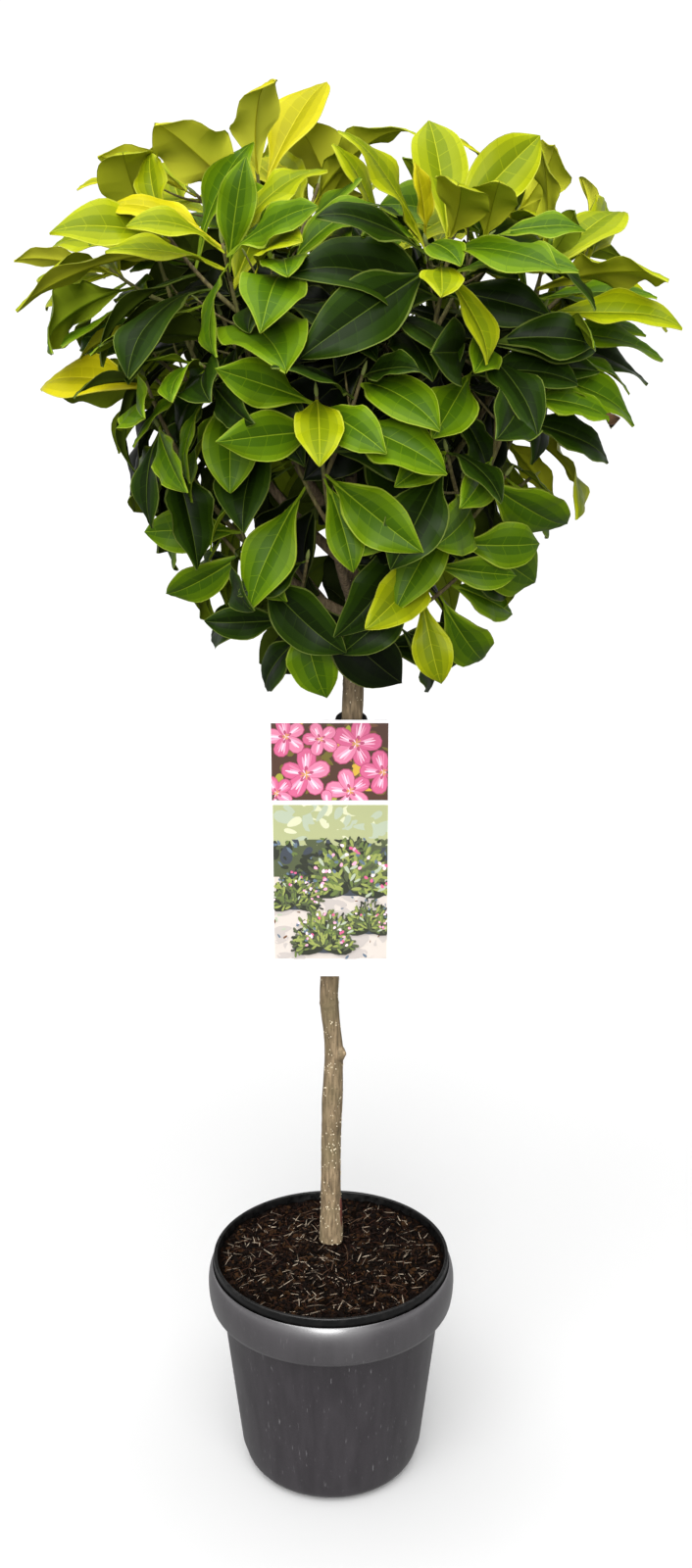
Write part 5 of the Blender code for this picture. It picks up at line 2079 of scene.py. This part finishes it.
    def strew_chips(self) -> None:
        """Strews flat bark chips and round crumbs, dark and red-brown."""
        shape, rng = Shape(), self.rng
        for number in range(self.chips + self.crumbs):
            chip = number < self.chips
            size = rng.uniform(1.2, 4.2) * MM if chip else rng.uniform(0.6, 1.7) * MM
            middle = self.spot(1.5 * MM + size)
            tilt = Matrix.Rotation(rng.gauss(0.0, 0.5), 3, "X") @ Matrix.Rotation(rng.gauss(0.0, 0.5), 3, "Y")
            frame = tilt @ Matrix.Rotation(rng.uniform(0.0, tau), 3, "Z")
            flat = size * (rng.uniform(0.14, 0.3) if chip else 0.8)
            narrow = rng.uniform(0.35, 0.8) if chip else 0.9
            rings, sides = [], self.chip_sides
            for level, width in self.chip_rings:
                turns = [tau * (n + rng.uniform(-0.3, 0.3)) / sides for n in range(sides)]
                ring = [Vector((cos(a) * width, sin(a) * width * narrow, 0.0)) * size for a in turns]
                rings.append([middle + frame @ (spot + UP * flat * level) for spot in ring])
            shape.add_slab(rings[::-1], rng.randrange(len(self.chip_browns)))
        finishes = self.brown_finishes("moist_bark_chip", self.chip_browns, 1.25, 0.2)
        chips = shape.piece("bark_chips", finishes, smooth=False)

    @staticmethod
    def brown_finishes(name: str, browns: Sequence[str], ior: float, specular: float) -> list[Material]:
        """Makes a matt finish for each of the browns."""
        shades = enumerate(browns)
        return [Finish(f"{name}_{k}", code, 0.85, ior, specular=specular).make() for k, code in shades]


# ------------------------ label and strap


class Ink(Enum):
    """Inks of the label's print."""

    DUSK = "#4a2e20"
    BARK = "#6a482e"
    MOSS = "#6a5f20"
    SPRING = "#9a9a34"
    GOLD = "#cda63a"
    ROSE = "#b0466c"
    PINK = "#cb5d86"
    CANDY = "#d97c9d"
    BLUSH = "#e5a3bd"
    PETAL = "#efd0de"
    HAZE = "#cccdac"
    MEADOW = "#a5aa7c"
    HEDGE = "#4c5437"
    SHADE = "#282c1f"
    LEAF = "#61713a"
    LIGHT = "#8e984f"
    SILVER = "#a9b39c"
    GRAVEL = "#b5ada8"
    SAND = "#c9c0b8"
    SLATE = "#5b6c7c"
    IRON = "#3a4049"

    @property
    def number(self) -> int:
        """Its place among the inks."""
        return list(Ink).index(self)


@dataclass(frozen=True)
class Panel:
    """A printed panel: where its edges are from the card's left and top edges."""

    left: float
    right: float
    high: float
    low: float

    def keep(self, x: float, y: float) -> Pair:
        """The nearest place inside the panel."""
        return min(self.right, max(self.left, x)), min(self.low, max(self.high, y))

    def band(self, first: float, last: float) -> Panel:
        """The strip of the panel between two shares of its height."""
        high, low = (blend(self.high, self.low, share) for share in (first, last))
        return Panel(self.left, self.right, high, low)

    def any_place(self, rng: Random) -> Pair:
        """A drawn place inside the panel."""
        return rng.uniform(self.left, self.right), rng.uniform(self.high, self.low)

    def outline(self) -> list[Pair]:
        """Its corners, counter-clockwise seen from the front."""
        left, right, high, low = self.left, self.right, self.high, self.low
        return [(left, low), (right, low), (right, high), (left, high)]


@dataclass
class Print:
    """The print of one panel, laid patch over patch."""

    shape: Shape
    panel: Panel
    rng: Random
    layer: float = 0.0015 * MM  # each patch stands this much in front of the one below
    blot_width: Pair = (0.35, 0.8)
    petal_steps: int = 12
    laid: int = 0

    def patch(self, outline: Sequence[Pair], ink: Ink) -> None:
        """Adds one patch over all that are there.

        Args:
            outline: Points from the card's left and top edges, counter-clockwise seen from the front.
            ink: Its ink.
        """
        self.laid += 1
        left, face = LABEL.shift - LABEL.width / 2, LABEL.y - LABEL.thickness / 2
        near = [(left + x, face - self.layer * self.laid, LABEL.top - y) for x, y in outline]
        self.shape.add_slab([near, [(x, face, z) for x, _, z in near]], ink.number)

    def petal(self, root: Pair, turn: float, size: Pair, ink: Ink, within: Panel | None = None) -> None:
        """Adds a petal, a leaf or a blot: a rounded patch that leaves its root along a bearing.

        Args:
            root: Place of its root on the card.
            turn: Bearing in radians, 0 to the right and turning up.
            size: Its length and width.
            ink: Its ink.
            within: What it stays in, where that is less than the whole panel.
        """
        panel = within or self.panel
        length, width = size
        middle = (root[0] + length / 2 * cos(turn), root[1] - length / 2 * sin(turn))
        if panel.keep(*middle) != middle:
            return
        points = []
        for k in range(self.petal_steps):
            t = tau * k / self.petal_steps
            forward = length * (0.5 - 0.5 * cos(t))
            side = -width / 2 * sin(t) * (0.55 + 0.45 * (0.5 - 0.5 * cos(t)))
            x = root[0] + forward * cos(turn) - side * sin(turn)
            y = root[1] - forward * sin(turn) - side * cos(turn)
            points.append(panel.keep(x, y))
        self.patch(points[::-1], ink)

    def strew(self, within: Panel, count: int, length: Pair, inks: Sequence[Ink]) -> None:
        """Strews blots.

        Args:
            within: Panel or strip that they stay in.
            count: How many there are.
            length: Shortest and longest.
            inks: Inks that are drawn from.
        """
        for _ in range(count):
            long = self.rng.uniform(*length)
            size = (long, long * self.rng.uniform(*self.blot_width))
            place, turn = within.any_place(self.rng), self.rng.uniform(0, tau)
            self.petal(place, turn, size, self.rng.choice(inks), within)


@dataclass
class HangLabel:
    """The card with a generic print: open blossoms over a border of herbs, with no words on it."""

    corner_steps: int = 6
    eased: float = 0.3 * MM
    upper: Panel = Panel(0.002, 0.097, 0.0026, 0.0682)
    lower: Panel = Panel(0.0026, 0.0972, 0.072, 0.2087)
    flowers: tuple[Triple, ...] = (
        *((0.03, 0.046, 0.021), (0.071, 0.02, 0.021), (0.066, 0.06, 0.019), (0.014, 0.014, 0.017)),
        *((0.093, 0.044, 0.018), (0.042, 0.016, 0.015), (0.006, 0.062, 0.015), (0.048, 0.072, 0.013)),
    )  # place of the middle, and size
    streaks: tuple[tuple[float, Ink], ...] = (
        *((-0.3, Ink.CANDY), (0.26, Ink.BLUSH), (0.06, Ink.PETAL), (-0.12, Ink.BLUSH)),
    )  # how far each leans from the petal's middle, and its ink
    grounds: tuple[tuple[float, float, int, Pair, tuple[Ink, ...]], ...] = (
        (0.0, 0.26, 60, (0.01, 0.022), (Ink.HAZE, Ink.MEADOW, Ink.MEADOW, Ink.SILVER)),
        (0.22, 0.5, 90, (0.008, 0.018), (Ink.HEDGE, Ink.SHADE, Ink.IRON, Ink.HEDGE)),
        (0.2, 0.48, 90, (0.003, 0.007), (Ink.LEAF, Ink.HEDGE, Ink.SLATE, Ink.SHADE)),
        (0.54, 1.0, 60, (0.01, 0.022), (Ink.GRAVEL, Ink.SAND, Ink.GRAVEL)),
        (0.58, 1.0, 60, (0.002, 0.005), (Ink.SAND, Ink.SILVER, Ink.SLATE, Ink.BARK)),
    )  # the strip, how many blots there are, their length and their inks
    clumps: tuple[tuple[float, float, float, int], ...] = (
        *((0.066, 0.146, 0.033, 420), (0.02, 0.16, 0.022, 240), (0.082, 0.182, 0.02, 200)),
        (0.044, 0.198, 0.026, 280),
    )  # place of the foot, half width, and number of leaves
    herb_inks: tuple[Ink, ...] = (Ink.SHADE, Ink.HEDGE, Ink.LEAF, Ink.LIGHT, Ink.SILVER)
    herb_height: float = 1.3
    seed: int = 5

    def build(self) -> None:
        """Makes the card and its print."""
        card = self.card()
        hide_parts("label")
        shape = Shape(RULE_DROP)
        rng = Random(self.seed)
        self.blossoms(Print(shape, self.upper, rng))
        self.border(Print(shape, self.lower, rng))
        named = {f"printed_ink_{ink.name.lower()}": ink.value for ink in Ink}
        inks = [Finish(name, code, 0.4, 1.5, 0.35, 0.12).make() for name, code in named.items()]
        print_piece = shape.piece("label_print", inks, smooth=False)

    def card(self) -> bpy.types.Object:
        """Makes the card, thin and flat with an eased edge.

        Returns:
            The piece.
        """
        outline = np.array(rounded_rectangle(LABEL.width, LABEL.height, LABEL.corner, self.corner_steps))
        half = LABEL.thickness / 2
        rings = []
        for depth, inset in ((-half, self.eased), (-half * 0.4, 0.0), (half * 0.4, 0.0), (half, self.eased)):
            x, z = (outline * (1 - inset / np.array([LABEL.width / 2, LABEL.height / 2]))).T
            depths = np.full(len(x), LABEL.y + depth)
            rings.append(np.column_stack([x + LABEL.shift, depths, z + (LABEL.top - LABEL.height / 2)]))
        shape = Shape(RULE_DROP)
        shape.add_slab(rings)
        return shape.piece("label_card", [CARD_FINISH.make()], smooth=False)

    def blossoms(self, sheet: Print) -> None:
        """Prints open five-petalled blossoms, close together over leaves in shade.

        Args:
            sheet: Print of the upper panel.
        """
        rng = sheet.rng
        sheet.patch(self.upper.outline(), Ink.DUSK)
        sheet.strew(self.upper, 36, (0.008, 0.016), (Ink.BARK, Ink.MOSS, Ink.DUSK))
        sheet.strew(self.upper, 50, (0.006, 0.013), (Ink.SPRING, Ink.MOSS, Ink.GOLD, Ink.BARK))
        for x, y, size in self.flowers:
            middle, turn = (x, y), rng.uniform(0.0, tau)
            for k in (0, 2, 4, 1, 3):
                angle = turn + tau * k / 5 + rng.uniform(-0.08, 0.08)
                long = size * rng.uniform(0.92, 1.05)
                face = rng.choice((Ink.PINK, Ink.CANDY))
                sheet.petal(middle, angle, (long * 1.04, long * 0.92), Ink.ROSE)
                sheet.petal(middle, angle, (long, long * 0.84), face)
                for lean, ink in self.streaks:
                    streak = (long * rng.uniform(0.7, 0.9), long * rng.uniform(0.06, 0.14))
                    sheet.petal(middle, angle + lean * rng.uniform(0.6, 1.2), streak, ink)
                sheet.petal(middle, angle, (long * 0.34, long * 0.16), Ink.ROSE)
            for k in range(9):
                spoke = (size * rng.uniform(0.14, 0.24), size * 0.05)
                sheet.petal(middle, tau * k / 9, spoke, Ink.GOLD if k % 3 else Ink.PETAL)

    def border(self, sheet: Print) -> None:
        """Prints rounded herbs in bloom on gravel, before a hedge and a hazy lawn.

        Args:
            sheet: Print of the lower panel.
        """
        sheet.patch(self.lower.outline(), Ink.SAND)
        sheet.patch(self.lower.band(0.0, 0.28).outline(), Ink.MEADOW)
        sheet.patch(self.lower.band(0.26, 0.46).outline(), Ink.HEDGE)
        for first, last, count, length, inks in self.grounds:
            sheet.strew(self.lower.band(first, last), count, length, inks)
        for x, y, size, count in self.clumps:
            self.clump(sheet, (x, y), size, count)

    def clump(self, sheet: Print, middle: Pair, size: float, count: int) -> None:
        """Prints one rounded herb: its shadow, its leaves from dark to light, and its flowers.

        Args:
            sheet: Print of the lower panel.
            middle: Middle of its foot.
            size: Its half width.
            count: How many leaves it has.
        """
        rng = sheet.rng
        sheet.petal((middle[0] - size, middle[1]), 0.0, (size * 2, size * 0.45), Ink.IRON)
        for k in range(9):
            sheet.petal(middle, pi * k / 8, (size * 0.95, size * 0.62), Ink.HEDGE if k % 2 else Ink.SHADE)
        for k in range(count):
            rank = k / count
            turn = pi * rng.uniform(-0.04, 1.04)
            reach = size * sqrt(rng.random()) * (1.0 - 0.15 * rank)
            spot = (middle[0] + reach * cos(turn), middle[1] - reach * self.herb_height * sin(turn))
            long = size * rng.uniform(0.16, 0.27)
            ink = self.herb_inks[min(4, max(0, int(rank * 3.2 + rng.uniform(-0.5, 1.4))))]
            sheet.petal(spot, turn + rng.gauss(0.0, 0.7), (long, long * 0.42), ink)
        for _ in range(count // 9):
            turn, reach = pi * rng.random(), size * rng.uniform(0.5, 1.05)
            spot = (middle[0] + reach * cos(turn), middle[1] - reach * self.herb_height * sin(turn))
            ink = rng.choice((Ink.PINK, Ink.BLUSH, Ink.PETAL, Ink.SLATE))
            sheet.petal(spot, rng.uniform(0, tau), (size * 0.11, size * 0.1), ink)


@dataclass
class Strap:
    """The rubber ring round the stem, with a flat pad at the front that carries the label."""

    steps: int = 72
    section_steps: int = 12
    pad_corner: float = 0.002
    pad_eased: float = 0.94
    pull: float = 0.0068  # the label's weight draws the front of the ring this far below its back

    def build(self) -> None:
        """Makes the ring and its pad."""
        half, wall = LABEL.strap_height / 2, LABEL.wall
        middle = LABEL.bore + wall / 2
        section = arc((middle, 0.0), (wall / 2, half), 0, 360, self.section_steps)[:-1]
        angles = tau * np.arange(self.steps) / self.steps
        rings = [[(r * cos(a), r * sin(a), z) for r, z in section] for a in angles]
        points = np.array(rings).reshape(-1, 3)
        points[:, 2] += self.pull * (1 + points[:, 1] / middle) / 2
        points += np.array(LABEL.strap)
        columns = len(section)
        faces = grid_faces(self.steps + 1, columns, closed=True) % (self.steps * columns)
        shape = Shape(RULE_DROP)
        shape.add(points, faces[:, ::-1])
        centre = LABEL.strap - Vector((0.0, middle, LABEL.pad_drop))
        outline = rounded_rectangle(*LABEL.pad, self.pad_corner, 5)
        pad = []
        for depth, w in ((-0.5, self.pad_eased), (-0.35, 1.0), (0.35, 1.0), (0.5, self.pad_eased)):
            pad.append([(centre.x + x * w, centre.y + depth * wall, centre.z + z * w) for x, z in outline])
        shape.add_slab(pad)
        strap = shape.piece("rubber_strap", [STRAP_FINISH.make()])
        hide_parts("strap")


# ------------------------ studio


@dataclass(frozen=True)
class Lamp:
    """One broad far light: its lean to the front and the left, its strength and its width in degrees."""

    name: str
    lean: Pair
    strength: float
    width: float

    def build(self) -> None:
        """Adds the light."""
        light = bpy.data.lights.new(self.name, "SUN")
        light.energy = self.strength
        light.angle = radians(self.width)
        front, left = (radians(angle) for angle in self.lean)
        source = Vector((-tan(left), -tan(front), 1.0))
        add_object(self.name, light).rotation_euler = source.to_track_quat("Z", "Y").to_euler()


@dataclass
class Studio:
    """White floor, a pale backdrop round the horizon, broad lights above and in front, and the camera."""

    floor_half: float = 60.0
    floor_white: str = "#bcbcbc"  # as white as the lights need to bring the open floor just to white
    backdrop: float = 1.08
    greys: tuple[Pair, ...] = ((0.455, 0.28), (0.485, 1.0), (0.56, 1.0), (0.64, 0.22))
    camera: Triple = (0.0134, -1.404, 1.094)
    pitch: float = 17.61
    lens: float = 41.1
    sensor: float = 36.0
    sight: float = 200.0
    lamps: tuple[Lamp, ...] = (
        Lamp("overhead", (4.0, 4.0), 3.2, 75.0),
        Lamp("key", (42.0, 8.0), 3.0, 55.0),
        Lamp("front", (73.0, 8.0), 2.0, 24.0),
    )

    def build(self) -> None:
        """Makes floor, world, lamps and camera."""
        scene = bpy.context.scene
        mesh = bpy.data.meshes.new("floor")
        half = self.floor_half
        corners = [(-half, -half, 0), (half, -half, 0), (half, half, 0), (-half, half, 0)]
        mesh.from_pydata(corners, [], [(0, 1, 2, 3)])
        mesh.materials.append(Finish("matt_white_paper", self.floor_white, 0.95).make())
        floor = add_object("floor", mesh)
        floor.visible_diffuse = False
        floor.visible_glossy = False
        scene.world = self.world()
        scene.view_settings.view_transform = "Standard"
        for lamp in self.lamps:
            lamp.build()
        data = bpy.data.cameras.new("camera")
        data.sensor_width = self.sensor
        data.lens = self.lens
        data.clip_end = self.sight
        camera = add_object("camera", data)
        camera.location = self.camera
        camera.rotation_euler = (radians(90.0 - self.pitch), 0.0, 0.0)
        scene.camera = camera

    def world(self) -> bpy.types.World:
        """Makes the surroundings: white round the horizon, greyer above and below.

        Returns:
            The world.
        """
        world = bpy.data.worlds.new("white_studio")
        world.use_nodes = True
        tree = world.node_tree
        back = tree.nodes["Background"]
        back.inputs["Strength"].default_value = self.backdrop
        place = add_node(tree, "ShaderNodeTexCoord").outputs["Generated"]
        height = add_node(tree, "ShaderNodeSeparateXYZ", links={0: place}).outputs["Z"]
        share = add_node(tree, "ShaderNodeMapRange", {"From Min": -1.0}, {"Value": height}).outputs["Result"]
        stops = [(at, (grey, grey, grey, 1.0)) for at, grey in self.greys]
        ramp = add_node(tree, "ShaderNodeValToRGB", {"stops": stops}, {"Fac": share})
        tree.links.new(ramp.outputs["Color"], back.inputs["Color"])
        return world


def main() -> None:
    """Builds the plant's pieces in order."""
    logging.basicConfig(level=logging.INFO, format="%(name)s: %(message)s")
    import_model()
    Studio().build()
    OuterPot().build()
    NurseryPot().build()
    Compost().build()
    Trunk().build()
    Crown().build()
    Strap().build()
    HangLabel().build()


if __name__ == "__main__":
    main()
